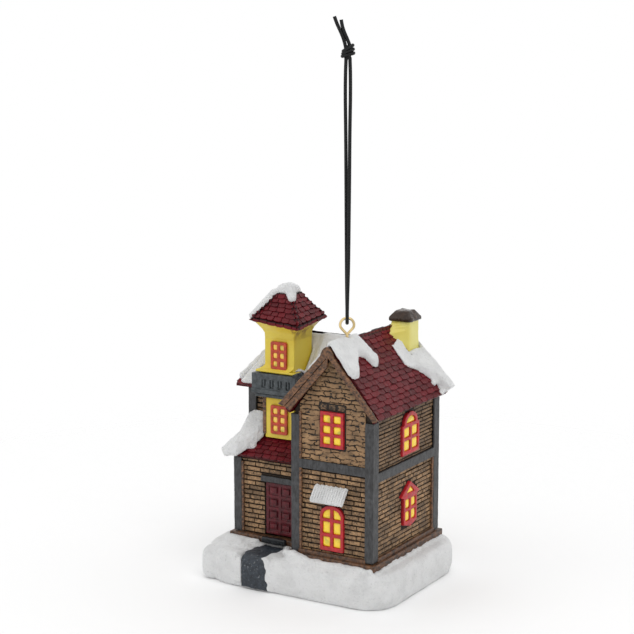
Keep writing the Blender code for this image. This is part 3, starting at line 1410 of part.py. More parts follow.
def add_eye():
    """The brass screw eye: a shank into the ridge and an open ring."""
    radius = EYE_RING / 2
    opening = 2 * (EYE_WIRE + GAP / 2) / EYE_RING
    points = [eye_point(0.0, RIDGE_TOP - EYE_SHANK_DEPTH)]
    points.append(eye_point(0.0, EYE_RING_HEIGHT - radius - EYE_WIRE))
    for step in range(EYE_STEPS + 1):
        angle = -pi / 2 + (2 * pi - opening) * step / EYE_STEPS
        points.append(eye_point(radius * cos(angle), EYE_RING_HEIGHT + radius * sin(angle)))
    tube("screw_eye", points, EYE_WIRE, "eye_brass")


def smooth_points(route, step):
    """Evenly spaced points along a smooth curve through a route's points."""
    fine = []
    last = len(route) - 1
    for index in range(last):
        before = route[max(index - 1, 0)]
        start = route[index]
        end = route[index + 1]
        after = route[min(index + 2, last)]
        for part in range(ROUTE_STEPS):
            t = part / ROUTE_STEPS
            bend = (before * -1 + start * 3 - end * 3 + after) * t ** 3
            curve = (before * 2 - start * 5 + end * 4 - after) * t ** 2
            fine.append((start * 2 + (end - before) * t + curve + bend) / 2)
    fine.append(route[-1])
    lengths = [0.0]
    for first, second in zip(fine, fine[1:]):
        lengths.append(lengths[-1] + (second - first).length)
    count = round(lengths[-1] / step)
    points = []
    index = 0
    for number in range(count + 1):
        distance = lengths[-1] * number / count
        while index < len(fine) - 2 and lengths[index + 1] < distance:
            index += 1
        share = (distance - lengths[index]) / (lengths[index + 1] - lengths[index])
        points.append(fine[index].lerp(fine[index + 1], share))
    return points


def add_cord():
    """The doubled black hanging cord, taut from the eye to its knot, and the knot with its tails."""
    across = Vector((cos(EYE_TURN), sin(EYE_TURN), 0.0))
    away = Vector((-sin(EYE_TURN), cos(EYE_TURN), 0.0))
    axis = Vector((RIDGE_X, EYE_Y, 0.0))
    route = []
    for rise, side, depth in CORD_ROUTE:
        route.append(axis + across * side + away * depth + Vector((0, 0, EYE_RING_HEIGHT + rise)))
    tube("hanging_cord", smooth_points(route, CORD_STEP), CORD_DIAMETER, "cord_black")
    low = EYE_RING_HEIGHT + CORD_ROUTE[0][0] + GAP
    middle = axis + Vector((0.0, 0.0, low + KNOT_HEIGHT / 2))
    bm = bmesh.new()
    bmesh.ops.create_uvsphere(bm, u_segments=KNOT_SIDES, v_segments=KNOT_LEVELS, radius=0.5)
    bmesh.ops.scale(bm, vec=(KNOT_WIDTH, KNOT_DEPTH, KNOT_HEIGHT), verts=bm.verts)
    knot = store("cord_knot", mesh_from("cord_knot", bm), "cord_black")
    knot.location = middle
    knot.rotation_euler = (0.0, 0.0, EYE_TURN)
    for number, lean in enumerate(TAIL_LEANS):
        foot = middle + across * TAIL_SPREAD * (number - 0.5)
        reach = KNOT_HEIGHT / 2 + TAIL_LENGTH - number * TAIL_STAGGER
        tip = foot + (across * lean + Vector((0, 0, 1))).normalized() * reach
        points = [foot, foot.lerp(tip, 0.5), tip]
        tail = tube("cord_tail_" + str(number + 1), points, CORD_DIAMETER, None, cutters)
        bpy.context.view_layer.update()
        cut(knot, solid_from_tube(tail), "UNION")


def solid_from_tube(source):
    """A tube as a welded mesh object that can take part in a Boolean."""
    evaluated = source.evaluated_get(bpy.context.evaluated_depsgraph_get())
    mesh = bpy.data.meshes.new_from_object(evaluated)
    name = source.name
    place = source.matrix_world.copy()
    bpy.data.objects.remove(source, do_unlink=True)
    bm = bmesh.new()
    bm.from_mesh(mesh)
    bmesh.ops.remove_doubles(bm, verts=bm.verts, dist=WELD_DISTANCE)
    obj = store(name, mesh_from(name, bm), None, cutters)
    obj.matrix_world = place
    return obj


def add_light_housing():
    """The round housing of the light unit with its battery well, board pocket and switch pocket."""
    centre = (UNIT_X, UNIT_Y)
    well = (CELL_X, UNIT_Y)
    lip_top = UNIT_BOTTOM + LIP_THICKNESS
    below = UNIT_BOTTOM - CUT_OVER
    above = UNIT_TOP + CUT_OVER
    housing = cylinder("light_housing", centre, UNIT_RADIUS, UNIT_BOTTOM, UNIT_TOP, "plastic_black")
    for cutter in (
        cylinder("cover_hole", well, COVER_RADIUS + GAP, below, lip_top + GAP, collection=cutters),
        cylinder("lug_groove", well, GROOVE_RADIUS, lip_top, CELL_BOTTOM, collection=cutters),
        cylinder("battery_well", well, CELL_RADIUS + CELL_PLAY, lip_top, WELL_TOP, collection=cutters),
        cylinder("board_pocket", centre, BOARD_RADIUS + GAP, BOARD_BOTTOM - GAP, above, collection=cutters),
        cylinder("lead_hole", well, CONTACT_WIDTH / 2, lip_top, above, collection=cutters),
    ):
        cut(housing, cutter)
    for number in range(2):
        notch_low = (0.0, -LUG_LENGTH / 2 - GAP, below)
        notch_high = (GROOVE_RADIUS, LUG_LENGTH / 2 + GAP, lip_top + GAP)
        notch = box("lug_entry_" + str(number + 1), notch_low, notch_high, collection=cutters)
        turn = Matrix.Rotation(COVER_TURN + number * pi, 4, "Z")
        notch.data.transform(Matrix.Translation(notch.location))
        notch.location = (0.0, 0.0, 0.0)
        notch.matrix_world = Matrix.Translation((CELL_X, UNIT_Y, 0.0)) @ turn
        cut(housing, notch)
    floor = UNIT_BOTTOM + UNIT_FLOOR
    pocket_low = (SWITCH_X - SWITCH_WIDTH / 2 - GAP, UNIT_Y - SWITCH_LENGTH / 2 - GAP, floor)
    pocket_high = (SWITCH_X + SWITCH_WIDTH / 2 + GAP, UNIT_Y + SWITCH_LENGTH / 2 + GAP, above)
    cut(housing, box("switch_pocket", pocket_low, pocket_high, collection=cutters))
    slot_half = (KNOB_LENGTH + SWITCH_TRAVEL) / 2 + GAP
    slot_low = (SWITCH_X - KNOB_WIDTH / 2 - GAP, UNIT_Y - slot_half, below)
    slot_high = (SWITCH_X + KNOB_WIDTH / 2 + GAP, UNIT_Y + slot_half, floor + GAP)
    cut(housing, box("knob_slot", slot_low, slot_high, collection=cutters))


def add_battery():
    """The coin cell, its two contacts and the turning cover below it."""
    well = (CELL_X, UNIT_Y)
    cell_top = CELL_BOTTOM + CELL_THICKNESS
    cylinder("coin_cell", well, CELL_RADIUS, CELL_BOTTOM, cell_top, "cell_steel")
    contact_low = cell_top + GAP
    box(
        "top_contact",
        (CELL_X - CONTACT_LENGTH / 2, UNIT_Y - CONTACT_WIDTH / 2, contact_low),
        (CELL_X + CONTACT_LENGTH / 2, UNIT_Y + CONTACT_WIDTH / 2, contact_low + CONTACT_THICKNESS),
        "contact_steel",
    )
    side_right = CELL_X - CELL_RADIUS - GAP
    box(
        "side_contact",
        (side_right - CONTACT_THICKNESS, UNIT_Y - CONTACT_WIDTH / 2, CELL_BOTTOM + GAP),
        (side_right, UNIT_Y + CONTACT_WIDTH / 2, cell_top),
        "contact_steel",
    )
    cover_top = UNIT_BOTTOM + COVER_THICKNESS
    cover = cylinder("battery_cover", well, COVER_RADIUS, UNIT_BOTTOM, cover_top, "plastic_black")
    lug_low = UNIT_BOTTOM + LIP_THICKNESS + GAP
    reach = COVER_RADIUS + LUG_REACH
    lugs = box(
        "cover_lugs",
        (CELL_X - reach, UNIT_Y - LUG_LENGTH / 2, lug_low),
        (CELL_X + reach, UNIT_Y + LUG_LENGTH / 2, cover_top),
        collection=cutters,
    )
    cut(cover, lugs, "UNION")
    slot = box(
        "coin_slot",
        (CELL_X - COIN_SLOT_WIDTH / 2, UNIT_Y - COIN_SLOT_LENGTH / 2, UNIT_BOTTOM - CUT_OVER),
        (CELL_X + COIN_SLOT_WIDTH / 2, UNIT_Y + COIN_SLOT_LENGTH / 2, UNIT_BOTTOM + COIN_SLOT_DEPTH),
        collection=cutters,
    )
    cut(cover, slot)


def add_electronics():
    """The circuit board, the light-emitting diode and the slide switch with its knob."""
    cylinder("circuit_board", (UNIT_X, UNIT_Y), BOARD_RADIUS, BOARD_BOTTOM, BOARD_TOP, "board_green")
    base = BOARD_TOP + GAP
    dome = base + LED_HEIGHT - LED_RADIUS
    profile = [(0.0, dome + LED_RADIUS)]
    for step in range(1, LED_STEPS + 1):
        angle = pi / 2 * (1 - step / LED_STEPS)
        profile.append((LED_RADIUS * cos(angle), dome + LED_RADIUS * sin(angle)))
    profile += [
        (LED_RADIUS, base + LED_FLANGE_HEIGHT),
        (LED_FLANGE_RADIUS, base + LED_FLANGE_HEIGHT),
        (LED_FLANGE_RADIUS, base),
        (0.0, base),
    ]
    turned("led", (UNIT_X, UNIT_Y), profile, "led_clear")
    floor = UNIT_BOTTOM + UNIT_FLOOR
    body_low = floor + GAP
    box(
        "switch_body",
        (SWITCH_X - SWITCH_WIDTH / 2, UNIT_Y - SWITCH_LENGTH / 2, body_low),
        (SWITCH_X + SWITCH_WIDTH / 2, UNIT_Y + SWITCH_LENGTH / 2, body_low + SWITCH_HEIGHT),
        "contact_steel",
    )
    knob_low = UNIT_BOTTOM + KNOB_RECESS
    knob_y = UNIT_Y - SWITCH_TRAVEL / 2
    box(
        "switch_knob",
        (SWITCH_X - KNOB_WIDTH / 2, knob_y - KNOB_LENGTH / 2, knob_low),
        (SWITCH_X + KNOB_WIDTH / 2, knob_y + KNOB_LENGTH / 2, body_low - GAP),
        "plastic_white",
    )


def build():
    """Build the whole house."""
    clear_scene()
    add_materials()
    add_base()
    add_path()
    add_banks()
    add_sill()
    outline = main_solid_outline(GAP)
    reach = 2 * CUT_OVER
    main_envelope = plate(
        "main_envelope", "Y", [outline], VERGE_FRONT - reach, VERGE_REAR + reach, collection=cutters
    )
    walls = add_main_walls()
    lower_walls = add_wing_walls(main_envelope)
    add_timber_frames()
    add_main_roof()
    add_bargeboards()
    spaces = (main_envelope,) + room_cutters()
    add_wing_roof(spaces)
    add_porch_roof()
    bay, room = add_tower()
    add_balcony()
    add_tower_roof()
    add_windows(walls, bay, room)
    add_door(lower_walls)
    add_awning()
    add_chimney(main_envelope)
    add_ridge_snow()
    add_chimney_snow()
    add_wing_snow(spaces)
    add_porch_snow()
    add_eye()
    add_cord()
    add_light_housing()
    add_battery()
    add_electronics()


build()
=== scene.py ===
"""Light-up Christmas house: the painted looks, built round its packed model.

The house's front is towards -Y and its right side towards +X; every size is in metres.
"""

import random
from math import ceil, cos, floor, pi, radians, sin, tan

import bmesh
import bpy
import numpy as np
from bpy.props import FloatProperty, FloatVectorProperty, IntProperty, PointerProperty
from bpy.types import Operator, Panel, PropertyGroup
from mathutils import Matrix, Vector, noise


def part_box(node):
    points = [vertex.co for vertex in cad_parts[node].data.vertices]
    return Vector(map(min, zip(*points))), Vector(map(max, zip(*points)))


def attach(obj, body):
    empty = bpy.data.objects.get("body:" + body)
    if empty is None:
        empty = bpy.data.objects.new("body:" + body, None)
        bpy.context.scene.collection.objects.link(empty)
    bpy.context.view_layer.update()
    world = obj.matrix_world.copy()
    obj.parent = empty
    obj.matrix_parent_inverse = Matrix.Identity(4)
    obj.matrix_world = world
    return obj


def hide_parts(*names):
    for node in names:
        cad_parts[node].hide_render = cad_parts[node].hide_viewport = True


bl_info = {
    "name": "Light-up Christmas house",
    "version": (1, 0, 0),
    "blender": (4, 5, 0),
    "location": "View3D > Sidebar > House",
    "description": "Builds a small painted house with carved brickwork, shingles and snow",
    "category": "Object",
}

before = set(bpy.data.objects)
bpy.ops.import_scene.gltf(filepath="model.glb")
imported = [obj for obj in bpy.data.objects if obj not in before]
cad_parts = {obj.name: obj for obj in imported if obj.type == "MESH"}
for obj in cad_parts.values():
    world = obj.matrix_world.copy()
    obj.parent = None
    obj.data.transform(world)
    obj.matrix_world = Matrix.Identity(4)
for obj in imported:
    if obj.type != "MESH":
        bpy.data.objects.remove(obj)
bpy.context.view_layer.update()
BODY = "house"

# Places taken from the packed model
WALLS_LOW, WALLS_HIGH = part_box("main_walls")
POSTS_LOW, POSTS_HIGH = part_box("main_timber_frame")
ROOF_LOW, ROOF_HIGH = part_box("main_roof")
WING_LOW, WING_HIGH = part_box("wing_lower_walls")
WING_UP_LOW, WING_UP_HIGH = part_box("wing_upper_walls")
WING_ROOF_LOW, WING_ROOF_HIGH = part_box("wing_roof")
WING_POSTS_LOW, WING_POSTS_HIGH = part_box("wing_timber_frame")
PORCH_POST_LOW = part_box("porch_post")[0]
PORCH_LOW, PORCH_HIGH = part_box("porch_roof")
TOWER_LOW, TOWER_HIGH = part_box("tower_room")
TOWER_ROOF_LOW, TOWER_ROOF_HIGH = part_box("tower_roof")
BAY_LOW, BAY_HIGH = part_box("tower_bay")
DECK_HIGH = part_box("balcony_deck")[1]
PARAPET_LOW, PARAPET_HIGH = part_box("balcony_parapet")
DOOR_LOW, DOOR_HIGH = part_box("front_door")
LINTEL_LOW, LINTEL_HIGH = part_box("door_lintel")
SILL_LOW, SILL_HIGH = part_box("ground_sill")
STEP_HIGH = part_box("doorstep")[1]
PATH_LOW, PATH_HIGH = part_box("garden_path")
AWNING_LOW, AWNING_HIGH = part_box("window_awning")
EYE_LOW, EYE_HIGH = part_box("screw_eye")
LEFT_BOARD_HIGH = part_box("left_bargeboard")[1]
STACK_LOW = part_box("chimney_stack")[0]
RIDGE_X = (ROOF_LOW.x + ROOF_HIGH.x) / 2
RIDGE_TOP = ROOF_HIGH.z
PITCH = radians(53.0)
RISE = tan(PITCH)
POST_WIDTH = 0.0026
POST_SIDE = 0.0032
BEAM_HALF = 0.0013
FRONT_BEAM = WALLS_LOW.z + 0.0254
SIDE_BEAM = WALLS_LOW.z + 0.0235
WING_BEAM = WALLS_LOW.z + 0.0242
GABLE_DROP = 0.0034
EAVE_RISE = 0.0399
LOW_SIDE_COURSE = 0.00124
HIGH_SIDE_COURSE = 0.00106

# How near points are merged, and how sharp an edge stays soft
WELD = 0.000002
SOFT_EDGE = radians(80)

# The photograph's view and the floor's fading edge
CAMERA_PLACE = (0.237755, -0.405720, 0.159537)
CAMERA_TARGET = (0.007971, -0.0201, 0.079335)
CAMERA_LENS = 95.68
FLOOR_FADE = (0.07, 0.24)

# The hanging cord's route: height above the middle of the eye's ring, sideways and fore-and-aft
EYE_TURN = radians(30.8)
EYE_WIRE = 0.0008
EYE_RING = 0.0038
CORD_ROUTE = (
    (0.0719, -0.00052, 0.0000),
    (0.0677, -0.00064, 0.0001),
    (0.0617, -0.00066, 0.0002),
    (0.0517, -0.00052, 0.0003),
    (0.0397, -0.0004, 0.0005),
    (0.0277, -0.0003, 0.0006),
    (0.0167, -0.0002, 0.0008),
    (0.0087, -0.0001, 0.0009),
    (0.0039, 0.0000, 0.0012),
    (0.0024, 0.0000, 0.0013),
    (0.0011, 0.0000, 0.0010),
    (0.0005, 0.0000, 0.0000),
    (0.0011, 0.0000, -0.0010),
    (0.0024, 0.0000, -0.0013),
    (0.0039, 0.0000, -0.0012),
    (0.0087, 0.0001, -0.0009),
    (0.0167, 0.0003, -0.0007),
    (0.0277, 0.0004, -0.0006),
    (0.0397, 0.0005, -0.0005),
    (0.0517, 0.00056, -0.0003),
    (0.0617, 0.00068, -0.0002),
    (0.0677, 0.00066, -0.0001),
    (0.0719, 0.00054, 0.0000),
)

trees = {}
finishes = {}


# Settings

class BrickSettings(PropertyGroup):
    """Sizes and colours of the brickwork."""

    length: FloatProperty(name="Brick length", description="Length of a whole brick", default=0.0039,
                          unit="LENGTH")
    course: FloatProperty(
        name="Course height", description="Height of one course with its joint", default=0.0014,
        unit="LENGTH")
    joint: FloatProperty(name="Joint width", description="Width of the dark joints", default=0.00034,
                         unit="LENGTH")
    proud: FloatProperty(
        name="Brick depth", description="How far a brick stands out of its wall", default=0.00022,
        unit="LENGTH")
    colour: FloatVectorProperty(
        name="Brick colour", description="Colour of the dry-brushed bricks", default=(0.38, 0.225, 0.11),
        subtype="COLOR")
    mortar: FloatVectorProperty(
        name="Joint colour", description="Colour of the dark wash in the joints",
        default=(0.016, 0.010, 0.006),
        subtype="COLOR")
    seed: IntProperty(name="Seed", description="Seed of the bricks' irregularity", default=4)


class ShingleSettings(PropertyGroup):
    """Sizes and colours of the roof shingles."""

    width: FloatProperty(name="Shingle width", description="Width of one shingle", default=0.0037,
                         unit="LENGTH")
    course: FloatProperty(name="Course", description="Distance between two rows", default=0.00165,
                          unit="LENGTH")
    thickness: FloatProperty(
        name="Thickness", description="Thickness of a shingle's lower edge", default=0.0005, unit="LENGTH")
    colour: FloatVectorProperty(
        name="Shingle colour", description="Colour of the painted shingles", default=(0.145, 0.0045, 0.010),
        subtype="COLOR")
    seed: IntProperty(name="Seed", description="Seed of the shingles' irregularity", default=9)


class SnowSettings(PropertyGroup):
    """Shape and colour of the snow."""

    grid: FloatProperty(name="Grid", description="Size of the snow's surface grid", default=0.00034,
                        unit="LENGTH")
    lump: FloatProperty(name="Lump height", description="Height of the snow's soft lumps", default=0.00022,
                        unit="LENGTH")
    grain: FloatProperty(name="Grain height", description="Height of the snow's fine grain",
                         default=0.00005, unit="LENGTH")
    colour: FloatVectorProperty(name="Snow colour", description="Colour of the snow",
                                default=(0.83, 0.835, 0.835), subtype="COLOR")


class WindowSettings(PropertyGroup):
    """Sizes and colours of the windows."""

    depth: FloatProperty(name="Frame depth", description="Thickness of a window frame", default=0.0008,
                         unit="LENGTH")
    red: FloatVectorProperty(name="Frame colour", description="Colour of the house's window frames",
                             default=(0.56, 0.013, 0.022), subtype="COLOR")
    orange: FloatVectorProperty(name="Tower frame colour",
                                description="Colour of the tower's window frames",
                                default=(0.62, 0.062, 0.018), subtype="COLOR")
    # The pane colour also sets the panes' faint painted glow.
    pane: FloatVectorProperty(name="Pane colour", description="Colour of the glowing panes",
                              default=(0.86, 0.60, 0.035), subtype="COLOR")


class CordSettings(PropertyGroup):
    """Sizes of the hanging cord."""

    diameter: FloatProperty(name="Cord diameter", description="Thickness of the cord", default=0.0010,
                            unit="LENGTH")
    tail: FloatProperty(name="Tail length", description="Length of the two tails over the knot",
                        default=0.0080, unit="LENGTH")


class StageSettings(PropertyGroup):
    """Light and floor of the studio."""

    key: FloatProperty(name="Key light", description="Power of the large lamp", default=1.3, min=0.0)
    fill: FloatProperty(name="Room light", description="Strength of the light from all round", default=0.80,
                        min=0.0)
    floor: FloatVectorProperty(name="Floor colour", description="Colour of the floor",
                               default=(0.97, 0.97, 0.97), subtype="COLOR")


# Node helpers

def add_node(tree, kind, inputs=None, **settings):
    """Add a node, set its options and fill or link its inputs by name or number."""
    made = tree.nodes.new(kind)
    for name, value in settings.items():
        setattr(made, name, value)
    for key, value in (inputs or {}).items():
        socket = made.inputs[key]
        if isinstance(value, bpy.types.NodeSocket):
            tree.links.new(value, socket)
        else:
            socket.default_value = value
    return made


def maths(tree, operation, first, second=0.0, third=0.0):
    """The result of a Math node."""
    return add_node(tree, "ShaderNodeMath", {0: first, 1: second, 2: third}, operation=operation).outputs[0]


def scaled(colour, factor):
    """A colour with each of its parts multiplied, up to 1."""
    return tuple(min(1.0, part * factor) for part in colour)


def start_finish(name, roughness, constants=None):
    """A new Principled material: its tree, its shader and its Object coordinates."""
    material = bpy.data.materials.new(name)
    material.use_nodes = True
    finishes[name] = material
    tree = material.node_tree
    shader = tree.nodes["Principled BSDF"]
    for label, value in {"Roughness": roughness, "Coat Roughness": 0.25, **(constants or {})}.items():
        shader.inputs[label].default_value = value
    return tree, shader, add_node(tree, "ShaderNodeTexCoord").outputs["Object"]


def noise_of(tree, place, scale, detail=3.0, roughness=0.55, stretch=None):
    """A noise value on the piece's own coordinates, stretched along some axes."""
    if stretch:
        place = add_node(tree, "ShaderNodeMapping", {"Vector": place, "Scale": stretch}).outputs[0]
    inputs = {"Vector": place, "Scale": scale, "Detail": detail, "Roughness": roughness}
    return add_node(tree, "ShaderNodeTexNoise", inputs).outputs[0]


def ramp(tree, value, low, high, start=0.0, end=1.0):
    """A value taken from one range to another and held at its ends."""
    inputs = {"Value": value, "From Min": low, "From Max": high, "To Min": start, "To Max": end}
    return add_node(tree, "ShaderNodeMapRange", inputs).outputs[0]


def blend_colour(tree, share, first, second, blend="MIX"):
    """Two colours mixed by a share; each is a colour or a socket."""
    made = add_node(tree, "ShaderNodeMix", data_type="RGBA", blend_type=blend)
    for socket, value in ((made.inputs[0], share), (made.inputs[6], first), (made.inputs[7], second)):
        if isinstance(value, bpy.types.NodeSocket):
            tree.links.new(value, socket)
        elif hasattr(value, "__len__"):
            socket.default_value = (*value[:3], 1.0)
        else:
            socket.default_value = value
    return made.outputs[2]


def attribute(tree, name):
    """A named value that is stored in the piece's mesh."""
    return add_node(tree, "ShaderNodeAttribute", attribute_name=name).outputs["Fac"]


def relief(tree, shader, height, distance, strength=1.0):
    """Bump on a shader from a height."""
    bump = add_node(tree, "ShaderNodeBump", {"Height": height, "Distance": distance, "Strength": strength})
    tree.links.new(bump.outputs[0], shader.inputs["Normal"])


def paint(tree, shader, colour):
    """Link a colour to a shader's base colour."""
    tree.links.new(colour, shader.inputs["Base Color"])


def shine(tree, shader, value):
    """Link a value to a shader's roughness."""
    tree.links.new(value, shader.inputs["Roughness"])


# Finishes

def make_snow_finish(settings):
    """Matt white paint with a grey wash in its hollows and a fine grain."""
    tree, shader, place = start_finish("snow paint", 0.66, {
        "Sheen Weight": 0.1, "Subsurface Weight": 0.06, "Subsurface Scale": 1.0,
        "Subsurface Radius": (0.0006, 0.0006, 0.0007),
    })
    wash = ramp(tree, noise_of(tree, place, 190.0, 4.0, 0.6), 0.44, 0.74)
    specks = ramp(tree, noise_of(tree, place, 1500.0, 5.0, 0.75), 0.56, 0.70, 0.0, 0.6)
    own = blend_colour(tree, wash, settings.colour, scaled(settings.colour, 0.84))
    paint(tree, shader, blend_colour(tree, specks, own, (0.46, 0.47, 0.47)))
    relief(tree, shader, noise_of(tree, place, 1300.0, 5.0, 0.75), 0.0006)


def make_brick_finish(name, colour, dark, mortar):
    """Dry-brushed brick paint over a black-brown wash, each brick with its own shade."""
    tree, shader, place = start_finish(name, 0.6)
    tint = attribute(tree, "tint")
    rim = attribute(tree, "rim")
    worn = noise_of(tree, place, 1300.0, 4.0, 0.7)
    darker_patch = ramp(tree, noise_of(tree, place, 210.0, 5.0, 0.65), 0.46, 0.62, 0.0, 0.85)
    strokes = noise_of(tree, place, 1500.0, 4.0, 0.7, (0.45, 0.45, 1.6))
    own = blend_colour(tree, ramp(tree, tint, 0.05, 0.75), dark, colour)
    own = blend_colour(tree, ramp(tree, strokes, 0.36, 0.60, 0.55, 0.0), own, dark)
    light = scaled(colour, 1.5)
    own = blend_colour(tree, ramp(tree, worn, 0.45, 0.66, 0.0, 0.7), own, light)
    own = blend_colour(tree, darker_patch, own, dark)
    pits = ramp(tree, noise_of(tree, place, 2400.0, 3.0, 0.6), 0.55, 0.66, 0.0, 0.85)
    own = blend_colour(tree, pits, own, mortar)
    edge = maths(tree, "ADD", rim, maths(tree, "MULTIPLY", maths(tree, "SUBTRACT", worn, 0.5), 1.1))
    paint(tree, shader, blend_colour(tree, ramp(tree, edge, 0.30, 0.70), own, mortar))
    relief(tree, shader, worn, 0.00028, 1.0)


def make_plaster_finish(settings):
    """Rough tan plaster whose hollows hold a black wash."""
    tree, shader, place = start_finish("plaster paint", 0.62)
    wash = attribute(tree, "wash")
    fine = noise_of(tree, place, 1700.0, 5.0, 0.75)
    broad = noise_of(tree, place, 260.0, 2.0, 0.5)
    tan_colour = scaled(settings.colour, 1.05)
    brown = scaled(settings.colour, 0.48)
    own = blend_colour(tree, ramp(tree, broad, 0.35, 0.65), tan_colour, brown)
    own = blend_colour(tree, ramp(tree, fine, 0.50, 0.72, 0.0, 0.5), own, (0.46, 0.27, 0.13))
    edge = maths(tree, "ADD", wash, maths(tree, "MULTIPLY", maths(tree, "SUBTRACT", fine, 0.5), 1.7))
    paint(tree, shader, blend_colour(tree, ramp(tree, edge, 0.22, 0.52), own, settings.mortar))
    relief(tree, shader, fine, 0.00030, 1.0)


def make_wood_finish(name, colour, dark, grain_axis, roughness=0.6, streak=1500.0, run=0.12):
    """Painted wood with a darker wash in its grain, which runs along one axis."""
    tree, shader, place = start_finish(name, roughness)
    stretch = [1.0, 1.0, 1.0]
    stretch["XYZ".index(grain_axis)] = run
    grain = noise_of(tree, place, streak, 5.0, 0.65, stretch)
    worn = noise_of(tree, place, 420.0, 4.0, 0.6)
    own = blend_colour(tree, ramp(tree, grain, 0.40, 0.60), dark, colour)
    light = scaled(colour, 1.9)
    paint(tree, shader, blend_colour(tree, ramp(tree, worn, 0.55, 0.78, 0.0, 0.6), own, light))
    relief(tree, shader, grain, 0.00018, 0.9)


def make_shingle_finish(settings):
    """Burgundy paint, darker between the shingles and scuffed on their edges."""
    tree, shader, place = start_finish("shingle paint", 0.38, {"Specular IOR Level": 0.22})
    tint = attribute(tree, "tint")
    rim = attribute(tree, "rim")
    worn = noise_of(tree, place, 1100.0, 4.0, 0.7)
    dark = scaled(settings.colour, 0.50)
    own = blend_colour(tree, tint, dark, settings.colour)
    light = (settings.colour[0] * 1.9, settings.colour[1] * 9.0, settings.colour[2] * 6.0)
    own = blend_colour(tree, ramp(tree, worn, 0.60, 0.78, 0.0, 0.6), own, light)
    paint(tree, shader, blend_colour(tree, ramp(tree, rim, 0.25, 0.9), own, (0.010, 0.0015, 0.002)))
    shine(tree, shader, ramp(tree, worn, 0.3, 0.7, 0.28, 0.5))
    relief(tree, shader, worn, 0.0002, 1.0)


def make_yellow_finish(name, colour, pale, roughness=0.42, darker_patch=0.0):
    """Smooth yellow paint with paler and browner patches, and an ochre smudge high on its right side."""
    tree, shader, place = start_finish(name, roughness, {"Coat Weight": 0.15})
    broad = noise_of(tree, place, 90.0, 2.0, 0.5)
    fine = noise_of(tree, place, 900.0, 3.0, 0.6)
    own = blend_colour(tree, ramp(tree, broad, 0.36, 0.64), colour, pale)
    brown = (colour[0] * 0.72, colour[1] * 0.58, colour[2] * 0.3)
    own = blend_colour(tree, ramp(tree, fine, 0.60, 0.82, 0.0, 0.35), own, brown)
    parts = add_node(tree, "ShaderNodeSeparateXYZ", {0: place})
    # The last argument sets the strength of a darker ochre patch high on the right side.
    high = ramp(tree, parts.outputs[2], 0.0685, 0.0715)
    right = ramp(tree, parts.outputs[0], -0.0074, -0.0066)
    patch = ramp(tree, noise_of(tree, place, 330.0, 3.0, 0.6), 0.47, 0.60, 0.0, darker_patch)
    shade = maths(tree, "MULTIPLY", maths(tree, "MULTIPLY", high, right), patch)
    paint(tree, shader, blend_colour(tree, shade, own, (0.26, 0.13, 0.018)))
    relief(tree, shader, fine, 0.00008, 0.5)


def make_frame_finish(name, colour):
    """Hand-painted window frame with uneven, darker strokes."""
    tree, shader, place = start_finish(name, 0.45, {"Coat Weight": 0.1})
    strokes = noise_of(tree, place, 700.0, 4.0, 0.6)
    dark = scaled(colour, 0.55)
    own = blend_colour(tree, ramp(tree, strokes, 0.35, 0.65), dark, colour)
    light = (min(1.0, colour[0] * 1.3), colour[1] * 3.0, colour[2] * 2.2)
    paint(tree, shader, blend_colour(tree, ramp(tree, strokes, 0.60, 0.80, 0.0, 0.45), own, light))
    relief(tree, shader, strokes, 0.00012, 0.7)


def make_pane_finish(name, colour, edge):
    """Clear amber paint on translucent resin, deeper near the frame and greenish in places."""
    # Emission Strength gives the panes a faint painted glow in their own colour.
    tree, shader, place = start_finish(name, 0.32, {
        "Coat Weight": 0.3, "Emission Strength": 0.12, "Subsurface Weight": 0.15, "Subsurface Scale": 1.0,
        "Subsurface Radius": (0.001, 0.0006, 0.0002),
    })
    broad = noise_of(tree, place, 420.0, 2.0, 0.5)
    own = blend_colour(tree, ramp(tree, broad, 0.56, 0.72, 0.0, 0.75), colour, (0.42, 0.40, 0.045))
    # The pane's foot, where it dips to the frame, takes the deeper edge colour: painted shade.
    mixed = blend_colour(tree, ramp(tree, attribute(tree, "rim"), 0.25, 1.0), own, edge)
    paint(tree, shader, mixed)
    tree.links.new(mixed, shader.inputs["Emission Color"])
    relief(tree, shader, broad, 0.0001, 0.4)


def make_stone_finish(name, colour, light, roughness, scale=900.0):
    """Dark painted stone with pale scuffs on its high spots."""
    tree, shader, place = start_finish(name, roughness, {"Specular IOR Level": 0.35})
    rough = noise_of(tree, place, scale, 5.0, 0.7)
    scuffs = noise_of(tree, place, scale * 1.7, 3.0, 0.7, (1.0, 0.5, 1.0))
    dark = scaled(colour, 0.45)
    own = blend_colour(tree, ramp(tree, rough, 0.38, 0.62), dark, colour)
    paint(tree, shader, blend_colour(tree, ramp(tree, scuffs, 0.60, 0.76, 0.0, 0.8), own, light))
    relief(tree, shader, rough, 0.00022, 0.9)


def make_metal_finish(name, colour, roughness, scale=1200.0):
    """Metal with fine scratches and slightly uneven gloss."""
    tree, shader, place = start_finish(name, roughness, {"Metallic": 1.0})
    scratches = noise_of(tree, place, scale, 4.0, 0.6, (1.0, 1.0, 0.2))
    dark = scaled(colour, 0.72)
    paint(tree, shader, blend_colour(tree, ramp(tree, scratches, 0.35, 0.65), colour, dark))
    shine(tree, shader, ramp(tree, scratches, 0.3, 0.7, roughness * 0.8, roughness * 1.4))
    relief(tree, shader, scratches, 0.00004, 0.4)


def make_moulded_finish(name, colour, roughness):
    """Moulded plastic with a fine spark-eroded grain."""
    tree, shader, place = start_finish(name, roughness)
    grain = noise_of(tree, place, 4200.0, 2.0, 0.5)
    broad = noise_of(tree, place, 160.0, 2.0, 0.5)
    dark = scaled(colour, 0.82)
    paint(tree, shader, blend_colour(tree, broad, dark, colour))
    relief(tree, shader, grain, 0.00003, 0.6)


